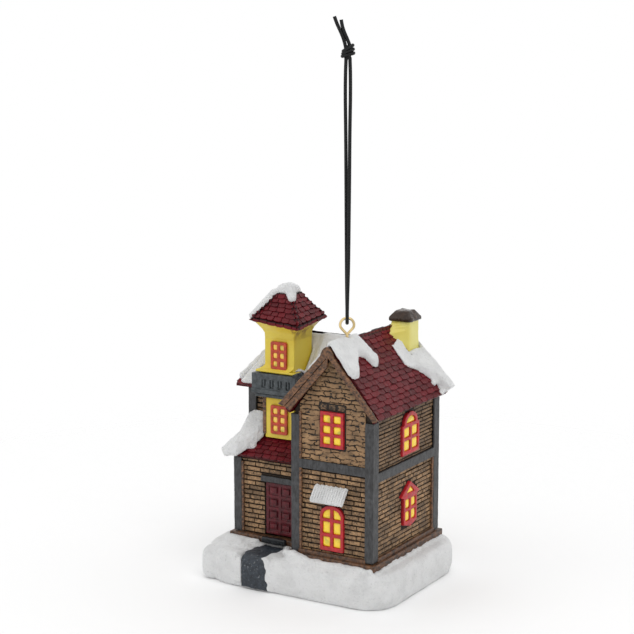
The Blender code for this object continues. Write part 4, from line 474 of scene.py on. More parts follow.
def make_cord_finish():
    """Waxed black cord with fine turns of its twist."""
    tree, shader, place = start_finish("waxed cord", 0.42, {"Specular IOR Level": 0.2})
    turned = add_node(tree, "ShaderNodeMapping", {"Vector": place, "Rotation": (0.5, 0.65, 0.0)}).outputs[0]
    twist = add_node(tree, "ShaderNodeTexWave",
                     {"Vector": turned, "Scale": 620.0, "Distortion": 1.5, "Detail": 1.0},
                     wave_type="BANDS", bands_direction="Z").outputs["Fac"]
    fibre = noise_of(tree, place, 3000.0, 3.0, 0.6)
    shade = maths(tree, "MULTIPLY", twist, fibre)
    paint(tree, shader, blend_colour(tree, shade, (0.0035, 0.004, 0.004), (0.022, 0.024, 0.025)))
    relief(tree, shader, shade, 0.00012, 0.9)


def make_board_finish():
    """Green circuit board with copper tracks under its lacquer."""
    tree, shader, place = start_finish("circuit lacquer", 0.35)
    tracks = add_node(tree, "ShaderNodeTexBrick",
                      {"Vector": place, "Scale": 260.0, "Mortar Size": 0.05}).outputs["Fac"]
    paint(tree, shader, blend_colour(tree, tracks, (0.015, 0.15, 0.05), (0.05, 0.30, 0.10)))
    relief(tree, shader, tracks, 0.00003, 0.5)


def make_led_finish():
    """Clear warm resin of the light."""
    tree, shader, place = start_finish("clear resin", 0.12, {"Transmission Weight": 0.6, "IOR": 1.5})
    cloud = noise_of(tree, place, 600.0, 2.0, 0.5)
    paint(tree, shader, blend_colour(tree, cloud, (0.95, 0.90, 0.72), (0.86, 0.80, 0.60)))
    relief(tree, shader, cloud, 0.00002, 0.3)


def make_finishes():
    """Every finish of the house: each row has a finish's name, its colours and its numbers."""
    scene = bpy.context.scene
    bricks, windows = scene.house_bricks, scene.house_windows
    dark = scaled(bricks.colour, 0.32)
    make_snow_finish(scene.house_snow)
    make_plaster_finish(bricks)
    make_shingle_finish(scene.house_shingles)
    make_cord_finish()
    make_board_finish()
    make_led_finish()
    for make, rows in (
        (make_brick_finish, (
            ("brick paint", bricks.colour, dark, bricks.mortar),
            # A darker copy of the brick paint: painted shade on the upper right wall under the eave.
            ("dark brick paint", scaled(bricks.colour, 0.62), dark, bricks.mortar),
        )),
        (make_wood_finish, (
            ("timber paint", (0.046, 0.047, 0.050), (0.018, 0.018, 0.019), "Z", 0.5, 1300.0, 0.35),
            ("board wood", (0.215, 0.100, 0.045), (0.028, 0.014, 0.008), "X", 0.5, 1700.0, 0.6),
            ("sill wood", (0.150, 0.068, 0.030), (0.024, 0.012, 0.007), "Y", 0.45, 1200.0, 0.45),
        )),
        (make_yellow_finish, (
            ("tower paint", (0.72, 0.51, 0.022), (0.76, 0.60, 0.06), 0.42, 0.85),
            ("chimney paint", (0.66, 0.53, 0.055), (0.76, 0.70, 0.20), 0.3, 0.0),
        )),
        (make_frame_finish, (("red frame paint", windows.red), ("orange frame paint", windows.orange))),
        # Each pane row ends with its edge colour, a deeper orange painted shade near the frame.
        (make_pane_finish, (
            ("amber pane", windows.pane, (0.80, 0.32, 0.012)),
            ("tower pane", (0.88, 0.58, 0.09), (0.80, 0.22, 0.012)),
        )),
        (make_stone_finish, (
            ("joint wash", (0.030, 0.018, 0.010), (0.10, 0.06, 0.03), 0.7, 1400.0),
            ("slate paint", (0.040, 0.050, 0.064), (0.42, 0.44, 0.46), 0.42, 900.0),
            ("step glaze", (0.018, 0.021, 0.025), (0.10, 0.11, 0.12), 0.18, 700.0),
            ("parapet paint", (0.085, 0.098, 0.106), (0.20, 0.22, 0.23), 0.45, 700.0),
            ("cap glaze", (0.045, 0.024, 0.013), (0.15, 0.09, 0.05), 0.13, 420.0),
            ("door paint", (0.125, 0.006, 0.013), (0.22, 0.030, 0.036), 0.36, 600.0),
        )),
        (make_metal_finish, (
            ("brass wire", (0.78, 0.60, 0.30), 0.2),
            ("cell steel", (0.62, 0.62, 0.63), 0.28),
            ("contact steel", (0.55, 0.55, 0.53), 0.32),
        )),
        (make_moulded_finish, (
            ("black plastic", (0.020, 0.020, 0.022), 0.45),
            ("white plastic", (0.78, 0.78, 0.76), 0.45),
        )),
    ):
        for row in rows:
            make(*row)


# Geometry Nodes trees

def new_tree(name, inputs):
    """A Geometry Nodes tree with a geometry input and output and its named sizes."""
    tree = bpy.data.node_groups.new(name, "GeometryNodeTree")
    tree.interface.new_socket("Geometry", in_out="INPUT", socket_type="NodeSocketGeometry")
    for label, kind, value in inputs:
        socket = tree.interface.new_socket(label, in_out="INPUT", socket_type="NodeSocket" + kind)
        if value is not None:
            socket.default_value = value
    tree.interface.new_socket("Geometry", in_out="OUTPUT", socket_type="NodeSocketGeometry")
    trees[name] = tree
    return tree, tree.nodes.new("NodeGroupInput"), tree.nodes.new("NodeGroupOutput")


def end_tree(tree, source, output, geometry):
    """Finish a tree: realize its instances and set the piece's material."""
    realized = add_node(tree, "GeometryNodeRealizeInstances", {"Geometry": geometry}).outputs[0]
    inputs = {"Geometry": realized, "Material": source.outputs["Material"]}
    tree.links.new(add_node(tree, "GeometryNodeSetMaterial", inputs).outputs[0], output.inputs[0])


def named(tree, name, kind):
    """A stored attribute as a field."""
    return add_node(tree, "GeometryNodeInputNamedAttribute", {"Name": name},
                    data_type=kind).outputs["Attribute"]


def noise_offset(tree, position, scale, seed):
    """A vector from -0.5 to 0.5 that changes with the position."""
    inputs = {"Vector": position, "W": seed, "Scale": scale, "Detail": 1.0}
    colour = add_node(tree, "ShaderNodeTexNoise", inputs, noise_dimensions="4D").outputs["Color"]
    return add_node(tree, "ShaderNodeVectorMath", {0: colour, 1: (0.5, 0.5, 0.5)},
                    operation="SUBTRACT").outputs[0]


def make_block_tree():
    """Carved blocks on points that store each block's size and turn: bricks, shingles, ribs and rubble."""
    tree, source, output = new_tree("carved blocks", (
        ("Taper", "Float", 0.1), ("Wedge", "Float", 0.0), ("Droop", "Float", 0.0),
        ("Unevenness", "Float", 0.0001),
        ("Unevenness Scale", "Float", 500.0), ("Seed", "Int", 0), ("Material", "Material", None),
    ))
    cube = add_node(tree, "GeometryNodeMeshCube", {"Vertices X": 5, "Vertices Y": 3, "Vertices Z": 2})
    position = add_node(tree, "GeometryNodeInputPosition").outputs[0]
    parts = add_node(tree, "ShaderNodeSeparateXYZ", {0: position})
    across, rise, depth = parts.outputs[0], parts.outputs[1], parts.outputs[2]
    front = maths(tree, "GREATER_THAN", depth, 0.0)
    width = maths(tree, "SUBTRACT", 1.0, maths(tree, "MULTIPLY", front, source.outputs["Taper"]))
    narrowing = maths(tree, "MULTIPLY", source.outputs["Taper"], 0.4)
    along = maths(tree, "MULTIPLY", across,
                  maths(tree, "SUBTRACT", 1.0, maths(tree, "MULTIPLY", front, narrowing)))
    bow = maths(tree, "SUBTRACT", 1.0,
                maths(tree, "MULTIPLY", maths(tree, "MULTIPLY", across, across), 4.0))
    sag = maths(tree, "MULTIPLY", maths(tree, "MULTIPLY", bow, source.outputs["Droop"]),
                maths(tree, "SUBTRACT", 0.5, rise))
    up = maths(tree, "SUBTRACT", maths(tree, "MULTIPLY", rise, width), sag)
    lift = maths(tree, "MULTIPLY", maths(tree, "ADD", rise, 0.5), source.outputs["Wedge"])
    out = maths(tree, "SUBTRACT", depth, maths(tree, "MULTIPLY", front, lift))
    placed = add_node(tree, "ShaderNodeCombineXYZ", {0: along, 1: up, 2: out}).outputs[0]
    block = add_node(tree, "GeometryNodeSetPosition",
                     {"Geometry": cube.outputs[0], "Position": placed}).outputs[0]
    rim = maths(tree, "SUBTRACT", 1.0, front)
    block = add_node(tree, "GeometryNodeStoreNamedAttribute",
                     {"Geometry": block, "Name": "rim", "Value": rim},
                     data_type="FLOAT", domain="POINT").outputs[0]
    turn = add_node(tree, "FunctionNodeEulerToRotation",
                    {0: named(tree, "turn", "FLOAT_VECTOR")}).outputs[0]
    placed = add_node(tree, "GeometryNodeInstanceOnPoints", {
        "Points": source.outputs["Geometry"], "Instance": block, "Rotation": turn,
        "Scale": named(tree, "size", "FLOAT_VECTOR"),
    }).outputs[0]
    tint = add_node(tree, "FunctionNodeRandomValue", {"Seed": source.outputs["Seed"]},
                    data_type="FLOAT").outputs[1]
    placed = add_node(tree, "GeometryNodeStoreNamedAttribute",
                      {"Geometry": placed, "Name": "tint", "Value": tint},
                      data_type="FLOAT", domain="INSTANCE").outputs[0]
    realized = add_node(tree, "GeometryNodeRealizeInstances", {"Geometry": placed}).outputs[0]
    offset = noise_offset(tree, position, source.outputs["Unevenness Scale"], source.outputs["Seed"])
    offset = add_node(tree, "ShaderNodeVectorMath", {0: offset, "Scale": source.outputs["Unevenness"]},
                      operation="SCALE")
    uneven = add_node(tree, "GeometryNodeSetPosition",
                      {"Geometry": realized, "Offset": offset.outputs[0]}).outputs[0]
    end_tree(tree, source, output, uneven)


def make_relief_tree():
    """Uneven relief on a surface: soft lumps and a fine grain along its normals."""
    tree, source, output = new_tree("uneven relief", (
        ("Lump Scale", "Float", 300.0), ("Lump Height", "Float", 0.0002), ("Grain Scale", "Float", 1500.0),
        ("Grain Height", "Float", 0.00005), ("Seed", "Int", 0), ("Material", "Material", None),
    ))
    position = add_node(tree, "GeometryNodeInputPosition").outputs[0]
    normal = add_node(tree, "GeometryNodeInputNormal").outputs[0]
    total = None
    for kind in ("Lump", "Grain"):
        inputs = {"Vector": position, "W": source.outputs["Seed"], "Scale": source.outputs[kind + " Scale"],
                  "Detail": 2.0}
        value = add_node(tree, "ShaderNodeTexNoise", inputs, noise_dimensions="4D").outputs[0]
        centred = maths(tree, "MULTIPLY", maths(tree, "SUBTRACT", value, 0.5), 2.0)
        height = maths(tree, "MULTIPLY", centred, source.outputs[kind + " Height"])
        total = height if total is None else maths(tree, "ADD", total, height)
    offset = add_node(tree, "ShaderNodeVectorMath", {0: normal, "Scale": total},
                      operation="SCALE").outputs[0]
    moved = add_node(tree, "GeometryNodeSetPosition",
                     {"Geometry": source.outputs["Geometry"], "Offset": offset}).outputs[0]
    end_tree(tree, source, output, moved)


def use_tree(obj, name, **values):
    """Put a tree on an object and set its inputs by their identifiers."""
    tree = trees[name]
    modifier = obj.modifiers.new(name, "NODES")
    modifier.node_group = tree
    for item in tree.interface.items_tree:
        key = item.name.lower().replace(" ", "_")
        if item.item_type == "SOCKET" and item.in_out == "INPUT" and key in values:
            modifier[item.identifier] = values[key]


# Mesh helpers

def new_object(name, mesh):
    """Link a mesh to the scene as an object at the origin."""
    obj = bpy.data.objects.new(name, mesh)
    bpy.context.scene.collection.objects.link(obj)
    return obj


def mesh_from(name, bm, recalculate=True):
    """Turn a bmesh into a mesh."""
    if recalculate:
        bmesh.ops.recalc_face_normals(bm, faces=bm.faces)
    mesh = bpy.data.meshes.new(name)
    bm.to_mesh(mesh)
    bm.free()
    return mesh


def apply_all(obj):
    """Replace an object's mesh by what its modifiers make, and remove them."""
    mesh = bpy.data.meshes.new_from_object(obj.evaluated_get(bpy.context.evaluated_depsgraph_get()))
    name = obj.name
    bpy.data.objects.remove(obj, do_unlink=True)
    mesh.name = name
    return new_object(name, mesh)


def settle(obj, finish, replaced=(), body=BODY, sharp=radians(38)):
    """Give a finished piece its material, smooth faces, body and slot."""
    obj.data.materials.clear()
    obj.data.materials.append(finishes[finish])
    if obj.type == "MESH":
        obj.data.shade_smooth()
        obj.data.set_sharp_from_angle(angle=sharp)
    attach(obj, body)
    if replaced:
        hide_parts(*replaced)
    return obj


def merged(mesh):
    """A mesh as a bmesh, with its coinciding points merged."""
    bm = bmesh.new()
    bm.from_mesh(mesh)
    bmesh.ops.remove_doubles(bm, verts=bm.verts, dist=WELD)
    return bm


def merged_copy(node):
    """The merged triangles of a CAD node, as a bmesh."""
    return merged(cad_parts[node].data)


def keep_inside(obj, low, high):
    """Hold a piece's points between two corners."""
    points = np.empty(len(obj.data.vertices) * 3, np.float32)
    obj.data.vertices.foreach_get("co", points)
    points = np.clip(points.reshape(-1, 3), np.array(low, np.float32), np.array(high, np.float32))
    obj.data.vertices.foreach_set("co", points.ravel())
    obj.data.update()


def soften(name, bm, grid, passes, lump=0.0, grain=0.0, lump_scale=300.0, grain_scale=1500.0, seed=0,
           finish="snow paint"):
    """A cast, rounded and uneven version of a mesh."""
    obj = new_object(name, mesh_from(name, bm, False))
    remesh = obj.modifiers.new("even grid", "REMESH")
    remesh.mode = "VOXEL"
    remesh.voxel_size = grid
    smooth = obj.modifiers.new("rounded", "SMOOTH")
    smooth.factor = 0.6
    smooth.iterations = passes
    use_tree(obj, "uneven relief", lump_scale=lump_scale, lump_height=lump, grain_scale=grain_scale,
             grain_height=grain, seed=seed, material=finishes[finish])
    return apply_all(obj)


def facing(side, place):
    """The matrix of a wall's plane: its X runs along the wall, its Y up and its Z outwards."""
    rows = {
        "front": (Vector((1, 0, 0)), Vector((0, -1, 0)), Vector((0, place, 0))),
        "right": (Vector((0, 1, 0)), Vector((1, 0, 0)), Vector((place, 0, 0))),
        "rear": (Vector((-1, 0, 0)), Vector((0, 1, 0)), Vector((0, place, 0))),
        "left": (Vector((0, -1, 0)), Vector((-1, 0, 0)), Vector((place, 0, 0))),
    }
    along, out, origin = rows[side]
    return basis(along, Vector((0, 0, 1)), out, origin)


def basis(along, up, out, origin):
    """A matrix from three directions and an origin."""
    matrix = Matrix((along, up, out)).transposed().to_4x4()
    matrix.translation = origin
    return matrix


def slope(origin, up, out):
    """The matrix of a roof slope: its X along the eave, its Y up the slope and its Z outwards."""
    return basis(up.cross(out), up, out, origin)


def flat_shape(name, outlines, depth, bevel, matrix):
    """A plate with rounded edges from flat outlines on a plane, standing on that plane."""
    curve = bpy.data.curves.new(name, "CURVE")
    curve.dimensions = "2D"
    curve.fill_mode = "BOTH"
    curve.extrude = depth / 2 - bevel
    curve.bevel_depth = bevel
    curve.bevel_resolution = 1
    for outline in outlines:
        spline = curve.splines.new("POLY")
        spline.points.add(len(outline) - 1)
        for point, (u, v) in zip(spline.points, outline):
            point.co = (u, v, 0.0, 1.0)
        spline.use_cyclic_u = True
    return mesh_of_curve(new_object(name, curve), matrix @ Matrix.Translation((0, 0, depth / 2)))


def join(name, bmeshes):
    """Several bmeshes as one mesh."""
    whole = bmesh.new()
    for bm in bmeshes:
        mesh = mesh_from(name, bm)
        whole.from_mesh(mesh)
        bpy.data.meshes.remove(mesh)
    mesh = bpy.data.meshes.new(name)
    whole.to_mesh(mesh)
    whole.free()
    return mesh


def add_copy(bm, other):
    """Add one bmesh to another and free it."""
    mesh = mesh_from("copy", other, False)
    bm.from_mesh(mesh)
    bpy.data.meshes.remove(mesh)


def rounded_corners(points, radius, steps=3):
    """A closed outline with its corners rounded."""
    result = []
    count = len(points)
    for index in range(count):
        before = Vector(points[index - 1])
        here = Vector(points[index])
        after = Vector(points[(index + 1) % count])
        back = (before - here).normalized() * min(radius, (before - here).length / 2)
        ahead = (after - here).normalized() * min(radius, (after - here).length / 2)
        start, end = here + back, here + ahead
        for step in range(steps + 1):
            share = step / steps
            point = start.lerp(here, share).lerp(here.lerp(end, share), share)
            result.append((point.x, point.y))
    return result


def rectangle(left, low, right, high):
    """The corners of a rectangle."""
    return [(left, low), (right, low), (right, high), (left, high)]


def tube(name, points, radius, closed=False, resolution=3):
    """A round wire through points as a curve object."""
    curve = bpy.data.curves.new(name, "CURVE")
    curve.dimensions = "3D"
    curve.bevel_depth = radius
    curve.bevel_resolution = resolution
    curve.use_fill_caps = True
    spline = curve.splines.new("POLY")
    spline.points.add(len(points) - 1)
    for target, point in zip(spline.points, points):
        target.co = (*point, 1.0)
    spline.use_cyclic_u = closed
    return new_object(name, curve)


def mesh_of_curve(obj, matrix=Matrix()):
    """A curve object's shape as a bmesh; the object is removed."""
    bpy.context.view_layer.update()
    mesh = bpy.data.meshes.new_from_object(obj.evaluated_get(bpy.context.evaluated_depsgraph_get()))
    bpy.data.objects.remove(obj, do_unlink=True)
    mesh.transform(matrix)
    return merged(mesh)


def skin(bm, levels, capped=True):
    """Faces between rings of points, and over the first and the last ring."""
    for lower, upper in zip(levels, levels[1:]):
        for index in range(len(lower)):
            after = (index + 1) % len(lower)
            bm.faces.new((lower[index], lower[after], upper[after], upper[index]))
    if capped:
        bm.faces.new(levels[0])
        bm.faces.new(levels[-1])


def plate_piece(name, plates, finish, replaced=()):
    """One piece of several flat plates."""
    settle(new_object(name, join(name, plates)), finish, replaced)


def smooth_route(route, step):
    """Evenly spaced points along a smooth curve through a route's points."""
    fine = []
    last = len(route) - 1
    for index in range(last):
        before, start = route[max(index - 1, 0)], route[index]
        end, after = route[index + 1], route[min(index + 2, last)]
        for part in range(12):
            t = part / 12
            bend = (before * -1 + start * 3 - end * 3 + after) * t ** 3
            curve = (before * 2 - start * 5 + end * 4 - after) * t ** 2
            fine.append((start * 2 + (end - before) * t + curve + bend) / 2)
    fine.append(route[-1])
    lengths = [0.0]
    for first, second in zip(fine, fine[1:]):
        lengths.append(lengths[-1] + (second - first).length)
    count = max(2, round(lengths[-1] / step))
    points, index = [], 0
    for number in range(count + 1):
        distance = lengths[-1] * number / count
        while index < len(fine) - 2 and lengths[index + 1] < distance:
            index += 1
        share = (distance - lengths[index]) / (lengths[index + 1] - lengths[index])
        points.append(fine[index].lerp(fine[index + 1], share))
    return points


# Blocks on a plane

def held(value):
    """A value held between 0 and 1."""
    return min(1.0, max(0.0, value))


def free_spans(left, right, blocked, shortest=0.0004):
    """What is left of a course between its ends when the blocked spans are taken out."""
    spans = [(left, right)]
    for low, high in blocked:
        left_over = []
        for start, end in spans:
            if low > start:
                left_over.append((start, min(end, low)))
            if high < end:
                left_over.append((max(start, high), end))
        spans = [(start, end) for start, end in left_over if end - start > shortest]
    return spans


def lay_course(start, end, length, shift, chance, wander=0.10):
    """Lengths of one span's blocks in running bond, as pairs of their ends."""
    edges = [start]
    place = start - shift * length
    while place < end:
        place += length * (1.0 + chance.uniform(-wander, wander))
        if place > start + length * 0.22 and place < end - length * 0.22:
            edges.append(place)
    edges.append(end)
    return list(zip(edges, edges[1:]))


def end_at(end, place):
    """A row's end: one number for all rows, or a function of the row's place."""
    return end(place) if callable(end) else end


class Blocks:
    """Points for carved blocks, with the size and turn of each."""

    def __init__(self, seed):
        self.points, self.sizes, self.turns = [], [], []
        self.chance = random.Random(seed)

    def add(self, matrix, u, v, out, size, turn=0.0):
        """One block at a place on a plane."""
        self.points.append(matrix @ Vector((u, v, out)))
        self.sizes.append(size)
        self.turns.append((matrix.to_3x3() @ Matrix.Rotation(turn, 3, "Z")).to_euler())

    def add_wall(self, matrix, settings, low, high, left, right, holes, course=None):
        """Courses of bricks between two heights; left and right give each course's ends."""
        course = course or settings.course
        first = floor((low - WALLS_LOW.z) / course + 0.01)
        last = ceil((high - WALLS_LOW.z) / course - 0.01)
        for number in range(first, last):
            foot = max(low, WALLS_LOW.z + number * course)
            head = min(high, WALLS_LOW.z + (number + 1) * course)
            middle = (foot + head) / 2
            if head - foot < course * 0.45:
                continue
            near = course / 2
            blocked = [(a - 0.0001, b + 0.0001) for a, c, b, d in holes if c - near < middle < d + near]
            for start, end in free_spans(end_at(left, middle), end_at(right, middle), blocked):
                for a, b in lay_course(start, end, settings.length, (number % 2) / 2, self.chance, 0.2):
                    proud = settings.proud * self.chance.uniform(0.4, 1.5)
                    size = (b - a - settings.joint * self.chance.uniform(0.3, 0.9),
                            head - foot - settings.joint, proud + 0.0003)
                    self.add(matrix, (a + b) / 2, middle, (proud - 0.0003) / 2, size,
                             self.chance.uniform(-0.02, 0.02))

    def add_shingles(self, matrix, length, left, right, settings, width=None, course=None):
        """Rows of shingles up a slope of a length; left and right give each row's ends."""
        width = width or settings.width
        count = round(length / (course or settings.course))
        course = length / count
        for number in range(count):
            low = number * course
            middle = low + course * 0.5
            for start, end in free_spans(end_at(left, middle), end_at(right, middle), ()):
                for a, b in lay_course(start, end, width, (number % 2) / 2, self.chance, 0.16):
                    tall = course * self.chance.uniform(1.22, 1.42)
                    thick = settings.thickness * self.chance.uniform(0.85, 1.2)
                    size = (b - a - 0.00012, tall, thick)
                    droop = self.chance.uniform(-0.0001, 0.00005)
                    self.add(matrix, (a + b) / 2, low + tall / 2 + droop, thick / 2, size,
                             self.chance.uniform(-0.03, 0.03))

    def make(self, name, finish, slot, **values):
        """Grow the blocks on their points and settle them as one piece."""
        mesh = bpy.data.meshes.new(name)
        mesh.from_pydata(self.points, [], [])
        for label, rows in (("size", self.sizes), ("turn", self.turns)):
            stored = mesh.attributes.new(label, "FLOAT_VECTOR", "POINT")
            stored.data.foreach_set("vector", np.array(rows, np.float32).ravel())
        obj = new_object(name, mesh)
        use_tree(obj, "carved blocks", material=finishes[finish], **values)
        return settle(apply_all(obj), finish)


# Pieces

def roof_top(x):
    """The height of the main roof's outer face at x."""
    return RIDGE_TOP - abs(x - RIDGE_X) * RISE


def window_boxes():
    """The spans that each window takes from the brickwork, as thin boxes that follow its head."""
    heads = {
        "front_lower_window": (0.0026, lambda t: (1 - t * t) ** 0.5, 0.0001, 1.0),
        "front_upper_window": (0.0, None, 0.0001, 1.0),
        "side_lower_window": (0.0038, lambda t: 1 - t, 0.0009, 1.2),
        "side_upper_window": (0.0032, lambda t: (1 - t * t) ** 0.5, 0.0004, 0.84),
    }
    boxes = {}
    for name, (head, shape, margin, spread) in heads.items():
        low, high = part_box(name + "_frame")
        start, end = (low.x, high.x) if name.startswith("front") else (low.y, high.y)
        middle, half = (start + end) / 2, (end - start) / 2 - margin
        spans = [(middle - half, low.z, middle + half, high.z - head)]
        for number in range(4 if shape else 0):
            reach = half * spread * shape(number / 4)
            foot = high.z - head + head * number / 4
            spans.append((middle - reach, foot, middle + reach, foot + head / 4))
        boxes[name] = spans
    return boxes


def gable_half(z):
    """Half the gable's width at a height, between its posts and under its roof."""
    return min(POSTS_HIGH.x - POST_WIDTH - RIDGE_X, (RIDGE_TOP - GABLE_DROP - z) / RISE)


def build_brickwork():
    """The bricks of every wall but the front gable: a row is a wall's plane, heights, ends and holes."""
    settings = bpy.context.scene.house_bricks
    openings = window_boxes()
    level, eave = WALLS_LOW.z, WALLS_LOW.z + EAVE_RISE
    left, right = POSTS_LOW.x + POST_WIDTH, POSTS_HIGH.x - POST_WIDTH
    front, rear = POSTS_LOW.y + POST_SIDE, POSTS_HIGH.y - POST_SIDE
    wing_left, wing_rear = PORCH_POST_LOW.x + POST_WIDTH, WING_POSTS_HIGH.y - POST_SIDE
    under_beam, over_beam = SIDE_BEAM - BEAM_HALF, SIDE_BEAM + BEAM_HALF
    door = (DOOR_LOW.x - 0.0002, DOOR_LOW.z - 0.001, DOOR_HIGH.x + 0.0002, DOOR_HIGH.z)
    lintel = (LINTEL_LOW.x, LINTEL_LOW.z, LINTEL_HIGH.x, LINTEL_HIGH.z)
    for name, finish, offset, walls in (
        ("main_brickwork", "brick paint", 0, (
            ("front", WALLS_LOW.y, level, FRONT_BEAM - BEAM_HALF, left, right,
             openings["front_lower_window"]),
            ("right", WALLS_HIGH.x, level, under_beam, front, rear, openings["side_lower_window"],
             LOW_SIDE_COURSE),
            ("rear", WALLS_HIGH.y, level, under_beam, -right, -left, []),
            ("rear", WALLS_HIGH.y, over_beam, RIDGE_TOP - 0.0062,
             lambda z: -RIDGE_X - gable_half(z), lambda z: -RIDGE_X + gable_half(z), []),
            ("left", WALLS_LOW.x, level, eave, -WING_LOW.y + 0.0008, -front, []),
            ("left", WALLS_LOW.x, level, eave, -rear, -WING_HIGH.y, []),
        )),
        # The upper right wall under the eave takes the darker copy of the brick paint as painted shade.
        ("side_brickwork", "dark brick paint", 5, (
            ("right", WALLS_HIGH.x, over_beam, eave, front, rear, openings["side_upper_window"],
             HIGH_SIDE_COURSE),
        )),
        ("wing_brickwork", "brick paint", 1, (
            ("front", WING_LOW.y, level, PORCH_LOW.z + 0.0012, wing_left, WING_HIGH.x, [door, lintel]),
            ("front", WING_UP_LOW.y, PORCH_HIGH.z - 0.001, WING_UP_HIGH.z - 0.0012, wing_left,
             BAY_LOW.x + 0.001, []),
            ("left", WING_LOW.x, level, WING_BEAM - BEAM_HALF, -wing_rear, -(PORCH_POST_LOW.y + POST_SIDE),
             []),
            ("left", WING_LOW.x, WING_BEAM + BEAM_HALF, WING_UP_HIGH.z, -wing_rear,
             -(WING_POSTS_LOW.y + POST_SIDE), []),
            ("rear", WING_HIGH.y, level, WING_UP_HIGH.z, -WALLS_LOW.x + 0.0005, -wing_left, []),
        )),
    ):
        seed = settings.seed + offset
        blocks = Blocks(seed)
        for side, place, *rest in walls:
            blocks.add_wall(facing(side, place), settings, *rest)
        blocks.make(name, finish, "brick_tan", taper=0.10, unevenness=0.00018, unevenness_scale=520.0,
                    seed=seed)
    for node in ("main_walls", "wing_lower_walls", "wing_upper_walls"):
        paint_node(node, "joint wash")


def brick_height(u, v, length, course, joint):
    """How far a point of a brick pattern stands out, from 0 in a joint to 1."""
    row = int(v // course)
    along = (u / length + (row % 2) / 2) % 1.0
    edge_u = min(along, 1.0 - along) * length
    edge_v = min(v % course, course - v % course)
    return held(min(edge_u * 1.3, edge_v) / joint * 2.4 - 0.35)


def build_gable():
    """The front gable: rough plaster with fragments of brickwork, dark round its window."""
    settings = bpy.context.scene.house_bricks
    left, right = POSTS_LOW.x + POST_WIDTH, POSTS_HIGH.x - POST_WIDTH
    low, step = FRONT_BEAM + BEAM_HALF + 0.0001, 0.00023
    window = window_boxes()["front_upper_window"][0]
    columns = round((right - left) / step)
    rows = round((RIDGE_TOP - GABLE_DROP - low) / step)
    bm = bmesh.new()
    wash = bm.verts.layers.float.new("wash")
    grid = {}
    for row in range(rows + 1):
        z = low + row * step
        half = gable_half(z)
        for column in range(columns + 1):
            x = left + column * step
            if abs(x - RIDGE_X) > half + step * 0.6:
                continue
            height, dark = gable_relief(x, z, left, right, low, window, settings)
            vert = bm.verts.new((x, WALLS_LOW.y - height, z))
            vert[wash] = dark
            grid[column, row] = vert
    for (column, row), vert in grid.items():
        keys = rectangle(column, row, column + 1, row + 1)
        corners = [grid.get(key) for key in keys]
        if None not in corners:
            middle_x, middle_z = left + (column + 0.5) * step, low + (row + 0.5) * step
            inside = window[0] < middle_x < window[2] and window[1] < middle_z < window[3]
            if not inside:
                bm.faces.new(corners)
    bmesh.ops.delete(bm, geom=[v for v in bm.verts if not v.link_faces], context="VERTS")
    obj = new_object("gable_plaster", mesh_from("gable_plaster", bm))
    wall = obj.modifiers.new("wall", "SOLIDIFY")
    wall.thickness = 0.0003
    wall.offset = -1.0
    settle(apply_all(obj), "plaster paint", sharp=radians(60))


def gable_relief(x, z, left, right, low, window, settings):
    """Height and darkness of the front gable at a point: plaster with fragments of brickwork."""
    place = Vector((x, 0.0, z))
    broad = noise.noise(place * 210.0)
    rough = noise.noise(place * 800.0)
    fine = noise.noise(place * 2300.0)
    rise = z - low
    bare = noise.noise(Vector((x * 240.0, 7.0, z * 300.0)))
    shown = 0.60 + bare * 1.3
    shown += 0.75 * max(0.0, 1.0 - (x - left) / 0.0036)
    shown += 0.50 * max(0.0, 1.0 - (right - x) / 0.0030) * (rise < 0.011)
    shown += 0.35 * (rise > 0.0145)
    shown += 0.25 * (rise < 0.0035 and x < RIDGE_X)
    shown = held(shown)
    warp = noise.noise(Vector((x * 420.0, 1.0, z * 420.0))) * 0.00055
    skew = noise.noise(Vector((x * 300.0, 5.0, z * 900.0))) * 0.0012
    out = brick_height(x - left + skew, rise + warp, settings.length * 0.82, settings.course,
                       settings.joint)
    joint = (1.0 - out) * shown
    scratch = max(0.0, noise.noise(Vector((x * 700.0, 3.0, z * 1900.0))) * 2.0 - 0.58 + rough * 0.6)
    dark = max(joint, min(1.0, scratch)) + max(0.0, fine - 0.5) * 0.6
    height = 0.00046 + broad * 0.00010 - 0.00040 * joint - 0.00014 * min(1.0, scratch)
    if window[0] - 0.0006 < x < window[2] + 0.0006 and window[1] - 0.0007 < z < window[3] + 0.0006:
        dark, height = 1.0, 0.0002
    if abs(x - RIDGE_X) < 0.0042 and window[3] + 0.0006 < z < window[3] + 0.0023:
        along = ((x - RIDGE_X + 0.0042) / 0.0028) % 1.0
        dark = 1.0 if min(along, 1.0 - along) < 0.12 or z > window[3] + 0.0020 else 0.42
        height = 0.0002 if dark > 0.9 else 0.0005
    return height + rough * 0.00006 + fine * 0.00003, min(1.0, dark)


def build_timbers():
    """The grey posts and beams, rough-hewn with softened edges."""
    for node, name in (
        ("main_timber_frame", "main_timbers"), ("wing_timber_frame", "wing_timbers"),
        ("porch_post", "porch_timber"), ("door_lintel", "lintel_timber"),
    ):
        hew_node(node, name, 0.0007, 0.00013, 0.0001, 2, "timber paint")


